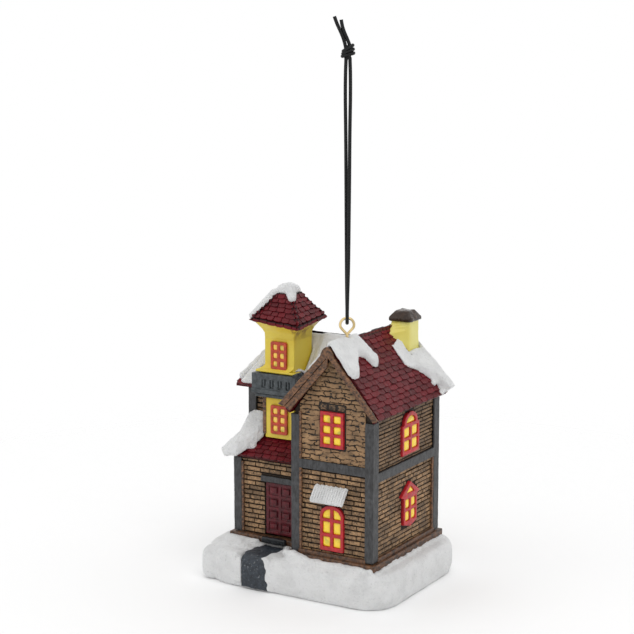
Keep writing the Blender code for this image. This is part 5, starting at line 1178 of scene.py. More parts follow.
def hewn(name, bm, longest, bevel, uneven, finish, seed=2):
    """A copy of a solid with bevelled edges and a slightly uneven surface."""
    bmesh.ops.dissolve_limit(bm, angle_limit=0.002, verts=bm.verts, edges=bm.edges)
    obj = new_object(name, mesh_from(name, bm))
    rounding = obj.modifiers.new("rounded edges", "BEVEL")
    rounding.width = bevel
    rounding.segments = 2
    rounding.limit_method = "ANGLE"
    obj = apply_all(obj)
    bm = bmesh.new()
    bm.from_mesh(obj.data)
    bpy.data.objects.remove(obj, do_unlink=True)
    bmesh.ops.triangulate(bm, faces=[face for face in bm.faces if len(face.verts) > 4])
    for _pass in range(6):
        long_edges = [edge for edge in bm.edges if edge.calc_length() > longest]
        if not long_edges:
            break
        bmesh.ops.subdivide_edges(bm, edges=long_edges, cuts=1)
        bmesh.ops.triangulate(bm, faces=[face for face in bm.faces if len(face.verts) > 4])
    obj = new_object(name, mesh_from(name, bm))
    use_tree(obj, "uneven relief", lump_scale=420.0, lump_height=uneven, grain_scale=1500.0,
             grain_height=uneven * 0.4, seed=seed, material=finishes[finish])
    return apply_all(obj)


def hew_node(node, name, longest, bevel, uneven, seed, finish):
    """A hewn copy of a CAD node that takes its place."""
    settle(hewn(name, merged_copy(node), longest, bevel, uneven, finish, seed), finish, [node])


def build_boards():
    """The double bargeboards of the front, a little shallower than the roof, and the rear ones."""
    hew_node("rear_bargeboard", "rear_board", 0.0008, 0.00014, 0.0001, 5, "board wood")
    apex = Vector((0.0120, 0.0713))
    plane = facing("front", LEFT_BOARD_HIGH.y)
    for name, node, foot, cut, strips in (
        ("left_board", "left_bargeboard", Vector((-0.0033, 0.0543)), Vector((0.935, -0.355)),
         ((0.0000, 0.0015, 0.0009), (0.0013, 0.0020, 0.0002), (0.0018, 0.0030, 0.0007),
          (0.0028, 0.0034, 0.0009))),
        ("right_board", "right_bargeboard", Vector((0.0275, 0.0530)), Vector((-0.94, -0.34)),
         ((0.0000, 0.0007, 0.0009), (0.0005, 0.0010, 0.0002), (0.0008, 0.0014, 0.0007))),
    ):
        along = (apex - foot).normalized()
        down = Vector((along.y, -along.x)) if along.x > 0 else Vector((-along.y, along.x))
        slant = cut / cut.dot(down)
        shapes = []
        for start, end, depth in strips:
            outline = []
            for offset, at_apex in ((start, False), (start, True), (end, True), (end, False)):
                point = apex - Vector((0, offset / abs(along.x))) if at_apex else foot + slant * offset
                outline.append((point.x, point.y))
            shapes.append(flat_shape(name, [outline], depth, 0.00012, plane))
        if name == "left_board":
            peak = [(-2.3, -2.6), (1.9, -2.7), (1.5, -1.0), (0.4, 0.3), (-0.9, -0.1)]
            peak = rounded_corners([(apex.x + x / 1000, apex.y + z / 1000) for x, z in peak], 0.0008)
            shapes.append(flat_shape(name, [peak], 0.0009, 0.00025, plane))
        bm = bmesh.new()
        bm.from_mesh(join(name, shapes))
        piece = hewn(name, bm, 0.0006, 0.00006, 0.00028, "board wood", 5)
        settle(piece, "board wood", [node])


def build_roofs():
    """The shingles of the main roof, the wing and the porch, and the ridge tiles."""
    settings = bpy.context.scene.house_shingles
    rise, run = sin(PITCH), cos(PITCH)
    length = (ROOF_HIGH.x - RIDGE_X) / run
    front, rear = ROOF_LOW.y + 0.0002, ROOF_HIGH.y - 0.0002
    main = Blocks(settings.seed)
    right = slope(Vector((ROOF_HIGH.x, 0, roof_top(ROOF_HIGH.x))), Vector((-run, 0, rise)),
                  Vector((rise, 0, run)))
    left = slope(Vector((ROOF_LOW.x, 0, roof_top(ROOF_LOW.x))), Vector((run, 0, rise)),
                 Vector((-rise, 0, run)))
    shingle_slope(main, ((right, length, front, rear), (left, length, -rear, -front)), settings)
    ridge = basis(Vector((0, 1, 0)), Vector((-1, 0, 0)), Vector((0, 0, 1)), Vector((RIDGE_X, 0, RIDGE_TOP)))
    count = round((rear - front) / 0.0021)
    for number in range(count):
        middle = front + (number + 0.5) * (rear - front) / count
        main.add(ridge, middle, 0.0, 0.00004, (0.0022, 0.0012, 0.0009), main.chance.uniform(-0.06, 0.06))
    values = dict(taper=0.12, wedge=0.7, droop=0.14, unevenness=0.00028, unevenness_scale=430.0)
    main.make("main_shingles", "shingle paint", "roof_burgundy", seed=settings.seed, **values)
    wing = Blocks(settings.seed + 1)
    eave = WING_ROOF_LOW.z + 0.0008
    edge = WING_ROOF_LOW.x
    wing_length = (WING_ROOF_HIGH.y - WING_ROOF_LOW.y) / 2 / run

    def meets_main(d):
        return RIDGE_X - (RIDGE_TOP - eave - d * rise) / RISE

    rear_slope = slope(Vector((0, WING_ROOF_HIGH.y, eave)), Vector((0, -run, rise)), Vector((0, rise, run)))
    hip_slope = slope(Vector((edge, 0, eave)), Vector((run, 0, rise)), Vector((-rise, 0, run)))
    front_slope = slope(Vector((0, WING_ROOF_LOW.y, eave)), Vector((0, run, rise)), Vector((0, -rise, run)))
    shingle_slope(wing, (
        (rear_slope, wing_length, lambda d: -meets_main(d), lambda d: -edge - d * run),
        (hip_slope, wing_length, lambda d: -WING_ROOF_HIGH.y + d * run,
         lambda d: -WING_ROOF_LOW.y - d * run),
        (front_slope, wing_length, lambda d: edge + d * run,
         lambda d: PARAPET_LOW.x if d < 0.006 else TOWER_LOW.x),
    ), settings)
    pitch = radians(40.0)
    up, out = Vector((0, cos(pitch), sin(pitch))), Vector((0, -sin(pitch), cos(pitch)))
    eave_y = WING_LOW.y - 0.0011
    eave_z = PORCH_HIGH.z - (PORCH_HIGH.y - eave_y) * tan(pitch) - 0.0008
    porch = slope(Vector((0, eave_y, eave_z)), up, out)
    porch_length = (PORCH_HIGH.y - eave_y) / cos(pitch)
    ends = (PORCH_POST_LOW.x - 0.0002, PORCH_HIGH.x)
    shingle_slope(wing, ((porch, porch_length, *ends),), settings, 0.0026, 0.0014)
    wing.make("wing_shingles", "shingle paint", "roof_burgundy", seed=settings.seed + 1, **values)
    boards = flat_shape("porch_boards", [rectangle(ends[0], 0.0, ends[1], porch_length)], 0.0007, 0.0002,
                        porch @ Matrix.Translation((0, 0, -0.0007)))
    settle(new_object("porch_boards", mesh_from("porch_boards", boards)), "shingle paint",
           ["porch_roof"])
    for node in ("main_roof", "wing_roof"):
        paint_node(node, "shingle paint")


def build_snow():
    """The snow on the roofs and the porch."""
    settings = bpy.context.scene.house_snow
    nodes = ("ridge_snow", "chimney_snow", "wing_snow", "valley_snow", "porch_snow")
    copies = {node: merged_copy(node) for node in nodes}
    ridge = copies["ridge_snow"]
    everything = ridge.verts[:] + ridge.edges[:] + ridge.faces[:]
    bmesh.ops.bisect_plane(ridge, geom=everything, plane_co=(0.0048, 0, 0), plane_no=(-1, 0, 0),
                           clear_outer=True)
    bmesh.ops.holes_fill(ridge, edges=ridge.edges)
    for vert in ridge.verts:
        vert.co.z = min(vert.co.z, 0.0722 + max(0.0, vert.co.z - 0.0722) * 0.35)
    for vert in copies["porch_snow"].verts:
        if vert.co.z > 0.0372 and vert.co.x < -0.0222:
            vert.co.x = -0.0222 + (vert.co.x + 0.0222) * 0.35
    for x, y, z, radius in (
        (26.2, 18.2, 54.2, 1.1), (25.0, 16.2, 55.9, 1.0), (25.4, 19.9, 55.2, 1.1), (23.6, 20.0, 57.6, 1.0),
        (21.9, 20.1, 59.9, 0.9), (26.6, 19.4, 53.4, 1.0), (18.4, 13.6, 64.4, 0.9), (18.8, 14.6, 64.4, 1.0),
        (18.9, 15.8, 64.6, 1.1), (19.0, 17.2, 64.6, 1.1), (19.0, 18.8, 64.4, 1.1), (27.0, 17.4, 53.2, 0.9),
    ):
        bead(copies["chimney_snow"], x, y, z, radius)
    for x, y, z, radius in (
        (-7.4, -7.0, 60.2, 0.9), (-6.6, -5.6, 60.3, 1.0), (-5.9, -4.4, 60.5, 1.0), (-5.4, -3.4, 60.7, 1.0),
    ):
        bead(copies["valley_snow"], x, y, z, radius, 0.7)
    chance = random.Random(41)
    for number in range(4):
        bead(copies["porch_snow"], -23.4 + 1.4 * number, -10.2 + chance.uniform(-0.8, 0.8),
             37.4 + chance.uniform(-0.4, 0.4),
             chance.uniform(0.9, 1.3))
    edge, eave = WING_ROOF_LOW.x * 1000, WING_ROOF_LOW.z * 1000 + 1.0
    for number in range(20):
        up = 2.4 + number * 0.85
        run, rise = up * cos(PITCH), up * sin(PITCH)
        bead(copies["wing_snow"], edge + run, WING_ROOF_LOW.y * 1000 + run - 0.1, eave + rise,
             chance.uniform(0.95, 1.35))
    for number, (node, passes, lump) in enumerate(zip(nodes, (8, 12, 5, 5, 8), (1.2, 1.2, 1.0, 1.0, 1.8))):
        piece = soften(node + "fall", copies[node], settings.grid, passes, settings.lump * lump,
                       settings.grain,
                       280.0, 1400.0, number + 3)
        if node == "ridge_snow":
            shift_points(piece, lambda place: (0, -1.5 * held((-14.0 - place.y) / 4) * (place.x > 12.0), 0))
        if node == "valley_snow":
            shift_points(piece, lambda place: (0, 0, -2.4 * held((-3.2 - place.x) / 2.2)
                                               * max(0.0, 1 - ((place.y + 0.5) / 5.0) ** 2)))
        if node == "chimney_snow":
            shift_points(piece, lambda place: Vector((0.9, 0, -1.25)) * held((12.0 - place.y) / 3.5))
        settle(piece, "snow paint", [node], sharp=SOFT_EDGE)


def path_sway(place, reach, edge):
    """How much of the path's bend a point takes: most at the path's left edge, at the front."""
    near = max(0.0, 1.0 - abs(place.x - edge) / reach)
    return near * held((-14.0 - place.y) / 5.0)


def build_ground():
    """The snowy ground with its banks as one soft mass, the path's stone and the doorstep."""
    settings = bpy.context.scene.house_snow
    bm = merged_copy("base_plinth")
    for node in ("front_snow_bank", "wing_snow_bank"):
        bank = merged_copy(node)
        bmesh.ops.translate(bank, verts=bank.verts, vec=(0, 0, -0.0006))
        add_copy(bm, bank)
    chance = random.Random(12)
    low, high = SILL_LOW * 1000, SILL_HIGH * 1000
    spots = [(-1.0 + share * 1.15, low.y - 0.2, low.z + 0.3, 0.9) for share in range(24)]
    spots += [(-1.2 + share * 0.6, low.y - 0.2, low.z + 1.5 - share * 0.13, 1.2) for share in range(12)]
    spots += [(high.x + 0.1, low.y + 1.5 + share * 1.35, low.z - 0.2, 0.8) for share in range(30)]
    spots += [(low.x + share * 1.1, STEP_HIGH.y * 1000 - 0.4, low.z + 0.3, 0.9) for share in range(9)]
    spots += [(low.x - 0.2, STEP_HIGH.y * 1000 + 1 + share, low.z - 0.2, 0.7) for share in range(28)]
    for x, y, z, radius in spots:
        bead(bm, x + chance.uniform(-0.3, 0.3), y + chance.uniform(-0.3, 0.3), z,
             radius * chance.uniform(0.6, 1.3))
    middle = (PATH_LOW.x + PATH_HIGH.x) * 500 + 0.7
    for number in range(30):
        y = -12.6 - number * 0.42
        sway = -0.9 * max(0.0, (-19.0 - y) / 5.0)
        for side, half in ((-1, 4.3 + 0.6 * min(1.0, number / 14)), (1, 4.0)):
            bead(bm, middle + sway + side * (half + chance.uniform(-0.35, 0.35)), y, 9.9,
                 chance.uniform(0.6, 1.05), 0.6)
    for number in range(16):
        for side, half in ((-1, 6.0), (1, 4.3 + 0.05 * (16 - number))):
            bead(bm, middle - 0.9 + side * (half + chance.uniform(-0.4, 0.4)), -24.2, 1.0 + number * 0.56,
                 chance.uniform(0.6, 0.95))
    for x, y, z, radius, flat in (
        (-20.2, -15.4, 9.8, 3.4, 0.5), (-17.8, -14.6, 9.8, 2.4, 0.5), (-24.0, -13.6, 9.8, 2.6, 0.5),
        (-5.3, -14.3, 10.1, 1.3, 0.8), (-4.2, -16.2, 10.0, 1.5, 0.5), (-6.1, -20.6, 9.9, 1.3, 0.4),
    ):
        bead(bm, x, y, z, radius, flat)
    for number in range(9):
        bead(bm, -26.7, -20.3, 2.6 + number * 0.5, 3.3)
        bead(bm, -27.9, -19.0 + number * 1.1, 5.4, 2.8)
    for number in range(3):
        bead(bm, -22.5 + number * 2.8, -17.6, 9.5, 2.6, 0.5)
    piece = soften("snowy_ground", bm, 0.00042, 6, settings.lump * 1.2, settings.grain * 1.4, 230.0, 1200.0,
                   21)
    shift_points(piece, lambda place: (-1.3 * path_sway(place, 2.6, -14.9), 0, 0))
    low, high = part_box("base_plinth")
    keep_inside(piece, low, (high.x, high.y, 1.0))
    settle(piece, "snow paint", ["base_plinth", "front_snow_bank", "wing_snow_bank"],
           sharp=SOFT_EDGE)
    piece = soften("slate_path", merged_copy("garden_path"), 0.0003, 2, 0.0003, 0.0001, 420.0, 1500.0, 8,
                   "slate paint")
    shift_points(piece, lambda place: (-1.3 * path_sway(place, 4.2, -14.9), 0, 0))
    keep_inside(piece, (-1, low.y, 0.0), (1, 1, 1))
    settle(piece, "slate paint", ["garden_path"], sharp=SOFT_EDGE)
    step = merged_copy("doorstep")
    bmesh.ops.translate(step, verts=step.verts, vec=(0.0009, 0, 0.0005))
    piece = soften("door_step_stone", step, 0.00022, 2, 0.00012, 0.00005, 500.0, 1500.0, 6, "step glaze")
    settle(piece, "step glaze", ["doorstep"], sharp=SOFT_EDGE)


def build_sill():
    """The brown course at the walls' foot, with its upper step."""
    hew_node("ground_sill", "sill_course", 0.0012, 0.0003, 0.00012, 7, "sill wood")
    strips = []
    for side, place, start, end in (
        ("front", WALLS_LOW.y, POSTS_LOW.x + POST_WIDTH, POSTS_HIGH.x - POST_WIDTH),
        ("right", WALLS_HIGH.x, POSTS_LOW.y + POST_SIDE, POSTS_HIGH.y - POST_SIDE),
        ("rear", WALLS_HIGH.y, -POSTS_HIGH.x + POST_WIDTH, -POSTS_LOW.x - POST_WIDTH),
    ):
        outline = rectangle(start, SILL_HIGH.z - 0.0002, end, SILL_HIGH.z + 0.0009)
        strips.append(flat_shape("sill_moulding", [outline], 0.0011, 0.0003, facing(side, place)))
    plate_piece("sill_moulding", strips, "sill wood")


def pane_rows(centre, lows, heights, width, bar):
    """Two columns of pane outlines at the given heights."""
    panes = []
    for low, height in zip(lows, heights):
        for side in (-1, 1):
            inner = centre + side * bar / 2
            outer = centre + side * (bar / 2 + width)
            panes.append(rectangle(min(inner, outer), low, max(inner, outer), low + height))
    return panes


def arch(centre, low, width, height, steps=10):
    """A half-ellipse on a straight foot."""
    points = []
    for step in range(steps + 1):
        angle = pi * step / steps
        points.append((centre + width / 2 * cos(angle), low + height * sin(angle)))
    return points


def build_window(name, side, place, outline, panes, frame_finish, frame_slot, pane_finish, depth=None):
    """One window: its painted frame and its puffy amber panes."""
    depth = depth or bpy.context.scene.house_windows.depth
    plane = facing(side, place)
    holes = [rounded_corners(pane, 0.0005, 3) for pane in panes]
    frame_mesh = mesh_from(name + "_frame_cast",
                           flat_shape(name, [outline] + holes, depth + 0.0003, 0.00018, plane))
    frame_piece = new_object(name + "_frame_cast", frame_mesh)
    settle(frame_piece, frame_finish, [name + "_frame"])
    height = depth + 0.00022
    mesh = join(name + "_glass", [dome(rounded_corners(pane, 0.0006, 3), height, plane) for pane in panes])
    rim = mesh.attributes.new("rim", "FLOAT", "POINT")
    out = plane.to_3x3() @ Vector((0, 0, 1))
    values = [held(1.0 - (vert.co - plane.translation).dot(out) / height) for vert in mesh.vertices]
    rim.data.foreach_set("value", values)
    settle(new_object(name + "_glass", mesh), pane_finish, [name + "_pane"], sharp=SOFT_EDGE)


def dome(outline, height, matrix):
    """A pillow over a flat outline: rings that shrink towards its middle as they rise."""
    bm = bmesh.new()
    middle = sum((Vector(point) for point in outline), Vector((0, 0))) / len(outline)
    rings = []
    for share, rise in ((1.08, -0.6), (1.08, 0.15), (0.92, 0.55), (0.66, 0.82), (0.34, 0.96)):
        ring = []
        for point in outline:
            flat = middle + (Vector(point) - middle) * share
            ring.append(bm.verts.new(matrix @ Vector((flat.x, flat.y, height * rise))))
        rings.append(ring)
    skin(bm, rings, False)
    top = bm.verts.new(matrix @ Vector((middle.x, middle.y, height)))
    for index, vert in enumerate(rings[-1]):
        bm.faces.new((vert, rings[-1][(index + 1) % len(outline)], top))
    bm.faces.new(rings[0])
    return bm


def build_windows():
    """The six windows, with panes and heads as they are painted."""
    red = ("red frame paint", "frame_red", "amber pane")
    low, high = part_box("front_lower_window_frame")
    mid = (low.x + high.x) / 2
    width = (high.x - low.x) / 2 - 0.0001
    shoulder = high.z - 0.0026
    outline = [(mid - width, low.z), (mid + width, low.z)] + arch(mid, shoulder, 2 * width, 0.0026)
    panes = pane_rows(mid, (low.z + 0.0008, low.z + 0.0046), (0.0032, 0.0037), 0.0027, 0.0006)
    base = low.z + 0.0088
    for side in (-1, 1):
        inner, outer = mid + side * 0.0003, mid + side * 0.0031
        head = [(inner, base), (outer, base), (outer, base + 0.0012), (mid + side * 0.0022, base + 0.0026),
                (inner, base + 0.0032)]
        panes.append(head if side > 0 else head[::-1])
    build_window("front_lower_window", "front", WALLS_LOW.y + 0.0001, outline, panes, *red)
    low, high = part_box("front_upper_window_frame")
    outline = rectangle(mid - width, low.z + 0.0001, mid + width, high.z - 0.0001)
    lows = (low.z + 0.0007, low.z + 0.0037, low.z + 0.0067)
    panes = pane_rows(mid, lows, (0.0025, 0.0025, 0.0025), 0.0027, 0.0006)
    build_window("front_upper_window", "front", WALLS_LOW.y + 0.0001, outline, panes, *red)
    low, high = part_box("side_lower_window_frame")
    mid = (low.y + high.y) / 2
    wide, body = (high.y - low.y) / 2 - 0.0001, 0.0037
    eave = high.z - 0.0038
    outline = [
        (mid - body, low.z + 0.0010), (mid, low.z), (mid + body, low.z + 0.0010),
        (mid + body, eave - 0.0004),
        (mid + wide, eave + 0.0002), (mid, high.z - 0.0001), (mid - wide, eave + 0.0002),
        (mid - body, eave - 0.0004),
    ]
    panes = pane_rows(mid, (low.z + 0.0015, low.z + 0.0052), (0.0032, 0.0030), 0.0029, 0.0006)
    panes.append([(mid - 0.0028, eave + 0.0005), (mid + 0.0028, eave + 0.0005), (mid, high.z - 0.0009)])
    build_window("side_lower_window", "right", WALLS_HIGH.x - 0.0001, outline, panes, *red)
    low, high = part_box("side_upper_window_frame")
    half = (high.y - low.y) / 2 - 0.0004
    shoulder = high.z - 0.0032
    outline = [(mid - half, low.z), (mid + half, low.z), (mid + half, shoulder - 0.0004),
               (mid + half * 0.82, shoulder - 0.0003)]
    outline += arch(mid, shoulder, half * 1.56, 0.0031)
    outline += [(mid - half * 0.82, shoulder - 0.0003), (mid - half, shoulder - 0.0004)]
    panes = pane_rows(mid, (low.z + 0.0008, low.z + 0.0046), (0.0033, 0.0032), half - 0.0009, 0.0007)
    panes.append(arch(mid, shoulder - 0.0001, half * 1.25, 0.0024))
    build_window("side_upper_window", "right", WALLS_HIGH.x - 0.0001, outline, panes, *red)
    for name, place, half, tall in (("tower_window", TOWER_LOW.y, 0.00245, 0.0077),
                                    ("bay_window", BAY_LOW.y, 0.0026, 0.0081)):
        low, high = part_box(name + "_frame")
        mid, foot = (low.x + high.x) / 2, (low.z + high.z - tall) / 2
        outline = rounded_corners(rectangle(mid - half, foot, mid + half, foot + tall), 0.0004)
        pitch = (tall - 0.0005) / 3
        lows = tuple(foot + 0.0005 + row * pitch for row in range(3))
        panes = pane_rows(mid, lows, (pitch - 0.0005,) * 3, half - 0.0008, 0.0006)
        build_window(name, "front", place + 0.0001, outline, panes, "orange frame paint", "frame_orange",
                     "tower pane", 0.0005)


def build_door():
    """The door with its raised panels."""
    hew_node("front_door", "door_leaf", 0.0008, 0.00008, 0.00006, 3, "door paint")
    plane = facing("front", DOOR_LOW.y) @ Matrix.Translation((0, 0, -0.0003))
    rail, margin = 0.0009, 0.0013
    width = (DOOR_HIGH.x - DOOR_LOW.x - 3 * rail) / 2
    height = (DOOR_HIGH.z - DOOR_LOW.z - 5 * rail) / 4
    panels = []
    for column in range(2):
        for row in range(4):
            left = DOOR_LOW.x + rail + column * (width + rail) + 0.0006
            low = DOOR_LOW.z + rail + row * (height + rail) + 0.0007
            outline = rectangle(left, low, left + width - margin, low + height - margin)
            panels.append(flat_shape("door_panel", [outline], 0.0004, 0.00015, plane))
    plate_piece("door_panels", panels, "door paint")


def build_awning():
    """The ribbed white awning over the lower window."""
    piece = soften("awning_sheet", merged_copy("window_awning"), 0.00022, 3, 0.00008, 0.00003, 400.0,
                   1500.0, 4)
    settle(piece, "snow paint", ["window_awning"], sharp=SOFT_EDGE)
    count, length = 13, 0.0054
    pitch = Vector((0, -0.0034, -0.0042)).normalized()
    out = Vector((0, -0.0042, 0.0034)).normalized()
    top = Vector((0, WALLS_LOW.y - 0.0006, AWNING_HIGH.z - 0.0005))
    plane = basis(Vector((1, 0, 0)), -pitch, out, top + pitch * length / 2)
    ribs = Blocks(31)
    width = (AWNING_HIGH.x - AWNING_LOW.x - 0.0005) / count
    for number in range(count):
        x = AWNING_LOW.x + 0.00025 + (number + 0.5) * width
        ribs.add(plane, x, 0.0, 0.00078, (width * 0.97, length - 0.0004, 0.0004),
                 ribs.chance.uniform(-0.01, 0.01))
    ribs.make("awning_ribs", "snow paint", "snow_white", taper=0.3, unevenness=0.0001,
              unevenness_scale=600.0, seed=5)


def foot_behind_wall(place):
    """How far a point of the stack's foot has to move to stay inside the rear wall's face."""
    under = place.z / 1000 < RIDGE_TOP - abs(place.x / 1000 - RIDGE_X) * RISE - 0.0008
    return (0, min(0.0, (WALLS_HIGH.y - 0.0006) * 1000 - place.y) if under else 0, 0)


def build_chimney():
    """The yellow stack, whose foot runs down the ridge, and its glazed cap; places in millimetres."""
    rear, foot = 20.2, (13.8, 9.4, 18.9, 12.9)
    bm = bmesh.new()
    levels = []
    for z, left_x, left_y, right_x, right_y in (
        (STACK_LOW.z * 1000, *foot), (61.0, *foot), (64.0, 13.8, 9.4, 18.56, 13.5),
        (66.0, 13.8, 9.4, 18.3, 14.1),
        (68.0, 13.8, 9.4, 18.2, 14.3), (70.4, 13.8, 9.6, 18.2, 14.3), (71.4, 13.1, 11.4, 18.2, 14.3),
        (72.6, 12.5, 13.4, 18.2, 14.3), (73.2, 12.2, 14.3, 18.2, 14.3), (73.9, 12.2, 14.3, 18.2, 14.3),
    ):
        rear_left = 12.2 if z > 70.4 else left_x - 1.2
        corners = ((left_x, left_y), (right_x, right_y), (right_x, rear), (rear_left, rear))
        levels.append([bm.verts.new((x / 1000, y / 1000, z / 1000)) for x, y in corners])
    skin(bm, levels)
    bmesh.ops.recalc_face_normals(bm, faces=bm.faces)
    piece = soften("chimney_cast", bm, 0.00024, 5, 0.00012, 0.00002, 260.0, 900.0, 2, "chimney paint")
    shift_points(piece, foot_behind_wall)
    settle(piece, "chimney paint", ["chimney_stack"], sharp=SOFT_EDGE)
    cap = merged_copy("chimney_cap")
    bmesh.ops.translate(cap, verts=cap.verts, vec=(0, 0, -0.0007))
    piece = hewn("chimney_top", cap, 0.0007, 0.00022, 0.00042, "cap glaze", 9)
    settle(piece, "cap glaze", ["chimney_cap"], sharp=radians(24))


def build_tower():
    """The tower's walls and flared skirt, and the balcony with its slot bars and rubble."""
    for node, name in (("tower_room", "tower_walls"), ("tower_bay", "bay_walls"), ("balcony_deck", "deck")):
        hew_node(node, name, 0.0012, 0.00016, 0.00005, 4, "tower paint")
    for node, name in (("balcony_parapet", "parapet"), ("balcony_floor", "parapet_foot")):
        hew_node(node, name, 0.0009, 0.00014, 0.00007, 6, "parapet paint")
    bm = bmesh.new()
    levels = []
    for share in (0.0, 0.25, 0.5, 0.75, 1.0):
        spread = (1 - share) ** 2
        height = DECK_HIGH.z + share * 0.0017
        levels.append([bm.verts.new((x, y, height)) for x, y in (
            (TOWER_LOW.x - 0.0023 * spread, TOWER_LOW.y - 0.0012 * spread),
            (TOWER_HIGH.x - 0.0012 * spread, TOWER_LOW.y - 0.0012 * spread),
            (TOWER_HIGH.x + 0.0006 * spread, DECK_HIGH.y),
            (TOWER_LOW.x - 0.0021 * spread, DECK_HIGH.y),
        )])
    skin(bm, levels)
    settle(new_object("tower_skirt", mesh_from("tower_skirt", bm)), "tower paint",
           sharp=radians(50))
    plane = facing("front", PARAPET_LOW.y)
    middle_x = (TOWER_LOW.x + TOWER_HIGH.x) / 2
    middle_z = (PARAPET_LOW.z + PARAPET_HIGH.z) / 2
    bars = []
    for number in range(4):
        centre = middle_x + (number - 1.5) * 0.0027
        outline = rectangle(centre - 0.0002, middle_z - 0.0006, centre + 0.0002, middle_z + 0.0012)
        bars.append(flat_shape("slot_bars", [outline], 0.0006, 0.0001,
                               plane @ Matrix.Translation((0, 0, -0.0006))))
    ledge = rectangle(PARAPET_LOW.x + 0.0001, PARAPET_LOW.z + 0.0002, PARAPET_HIGH.x - 0.0001,
                      PARAPET_LOW.z + 0.0011)
    bars.append(flat_shape("slot_bars", [ledge], 0.0005, 0.0002,
                           plane @ Matrix.Translation((0, 0, -0.0002))))
    plate_piece("slot_bars", bars, "parapet paint")
    edge = rectangle(BAY_LOW.x - 0.0006, BAY_LOW.z + 0.0012, BAY_LOW.x + 0.0002, BAY_HIGH.z - 0.0002)
    board = flat_shape("bay_board", [edge], 0.0010, 0.00015, facing("front", BAY_LOW.y + 0.0008))
    plate_piece("bay_board", [board], "board wood")
    rubble = Blocks(77)
    plane = Matrix.Translation((0, 0, PARAPET_HIGH.z))
    for number in range(14):
        size = rubble.chance.uniform(0.0005, 0.0011)
        x = PARAPET_HIGH.x - rubble.chance.uniform(0.0001, 0.0012)
        y = PARAPET_LOW.y + 0.0003 + number * 0.00042
        rubble.add(plane, x, y, 0.0003, (size, size, size * 0.9), rubble.chance.uniform(0, 3))
    rubble.make("parapet_rubble", "parapet paint", "slate_grey", taper=0.3, unevenness=0.0005,
                unevenness_scale=900.0, seed=3)


def build_tower_snow():
    """The tongue of snow on the tower roof's near corner and the snow down its left side."""
    settings = bpy.context.scene.house_snow
    centre = (TOWER_ROOF_LOW + TOWER_ROOF_HIGH) / 2
    lip, top, half = TOWER_ROOF_LOW.z + 0.0009, TOWER_ROOF_HIGH.z, 0.0027
    corner = Vector((TOWER_ROOF_HIGH.x, TOWER_ROOF_LOW.y, lip))
    left_corner = Vector((TOWER_ROOF_LOW.x, TOWER_ROOF_LOW.y, lip))
    rear_corner = Vector((TOWER_ROOF_LOW.x, TOWER_ROOF_HIGH.y, lip))
    near = Vector((centre.x + half, centre.y - half, top))
    inner = Vector((centre.x - half, centre.y - half, top))
    inner_rear = Vector((centre.x - half, centre.y + half, top))
    beads = []
    for step in range(9):
        share = step / 8
        beads.append((near.lerp(corner, -0.25 + share * 0.36), 0.0018 - 0.0005 * share))
    for step in range(34):
        share = step / 33
        point = inner.lerp(left_corner, share * 0.97) + Vector((-0.00065, 0.00045, 0.0002 + 0.0008 * share))
        beads.append((point, 0.00125 - 0.0002 * share))
    for column in range(2):
        foot = left_corner.lerp(rear_corner, 0.10 + 0.17 * column)
        head = inner.lerp(inner_rear, 0.10 + 0.2 * column)
        for step in range(22):
            share = step / 21
            point = head.lerp(foot, share * (0.97 - 0.13 * column)) + Vector((0, 0, 0.0007 * share))
            beads.append((point, 0.0009))
    bm = bmesh.new()
    for point, radius in beads:
        bmesh.ops.create_icosphere(bm, subdivisions=2, radius=radius, matrix=Matrix.Translation(point))
    crown = Matrix.Translation((centre.x, centre.y, top - 0.0015))
    bmesh.ops.create_icosphere(bm, subdivisions=3, radius=0.0024, matrix=crown)
    add_copy(bm, merged_copy("tower_snow_cap"))
    piece = soften("tower_snowfall", bm, settings.grid * 0.85, 5, settings.lump * 0.7, settings.grain,
                   380.0, 1400.0, 15)
    settle(piece, "snow paint", ["tower_snow_cap"], sharp=SOFT_EDGE)


def build_eye():
    """The brass screw eye: a ring whose two ends meet in a V over the shank."""
    centre = eye_centre()
    radius = EYE_RING / 2
    across = Vector((cos(EYE_TURN), sin(EYE_TURN), 0.0))
    neck = ((0.10, -1.32), (0.42, -0.94), (0.80, -0.52))
    angles = [radians(-18) + radians(216) * step / 12 for step in range(13)]
    places = [*neck, *((cos(angle), sin(angle)) for angle in angles), *((-x, z) for x, z in neck[::-1])]
    route = [centre + across * radius * x + Vector((0, 0, radius * z)) for x, z in places]
    ring = mesh_of_curve(tube("ring", smooth_route(route, 0.00022), EYE_WIRE / 2 * 0.92, resolution=4))
    shank = [centre + Vector((0, 0, -radius - 0.0005)), Vector((centre.x, centre.y, EYE_LOW.z))]
    stem = mesh_of_curve(tube("stem", shank, EYE_WIRE / 2, resolution=4))
    plate_piece("brass_eye", [ring, stem], "brass wire", ["screw_eye"])


def eye_centre():
    """The middle of the eye's ring."""
    middle = (EYE_LOW + EYE_HIGH) / 2
    return Vector((middle.x, middle.y, EYE_HIGH.z - EYE_WIRE / 2 - EYE_RING / 2))


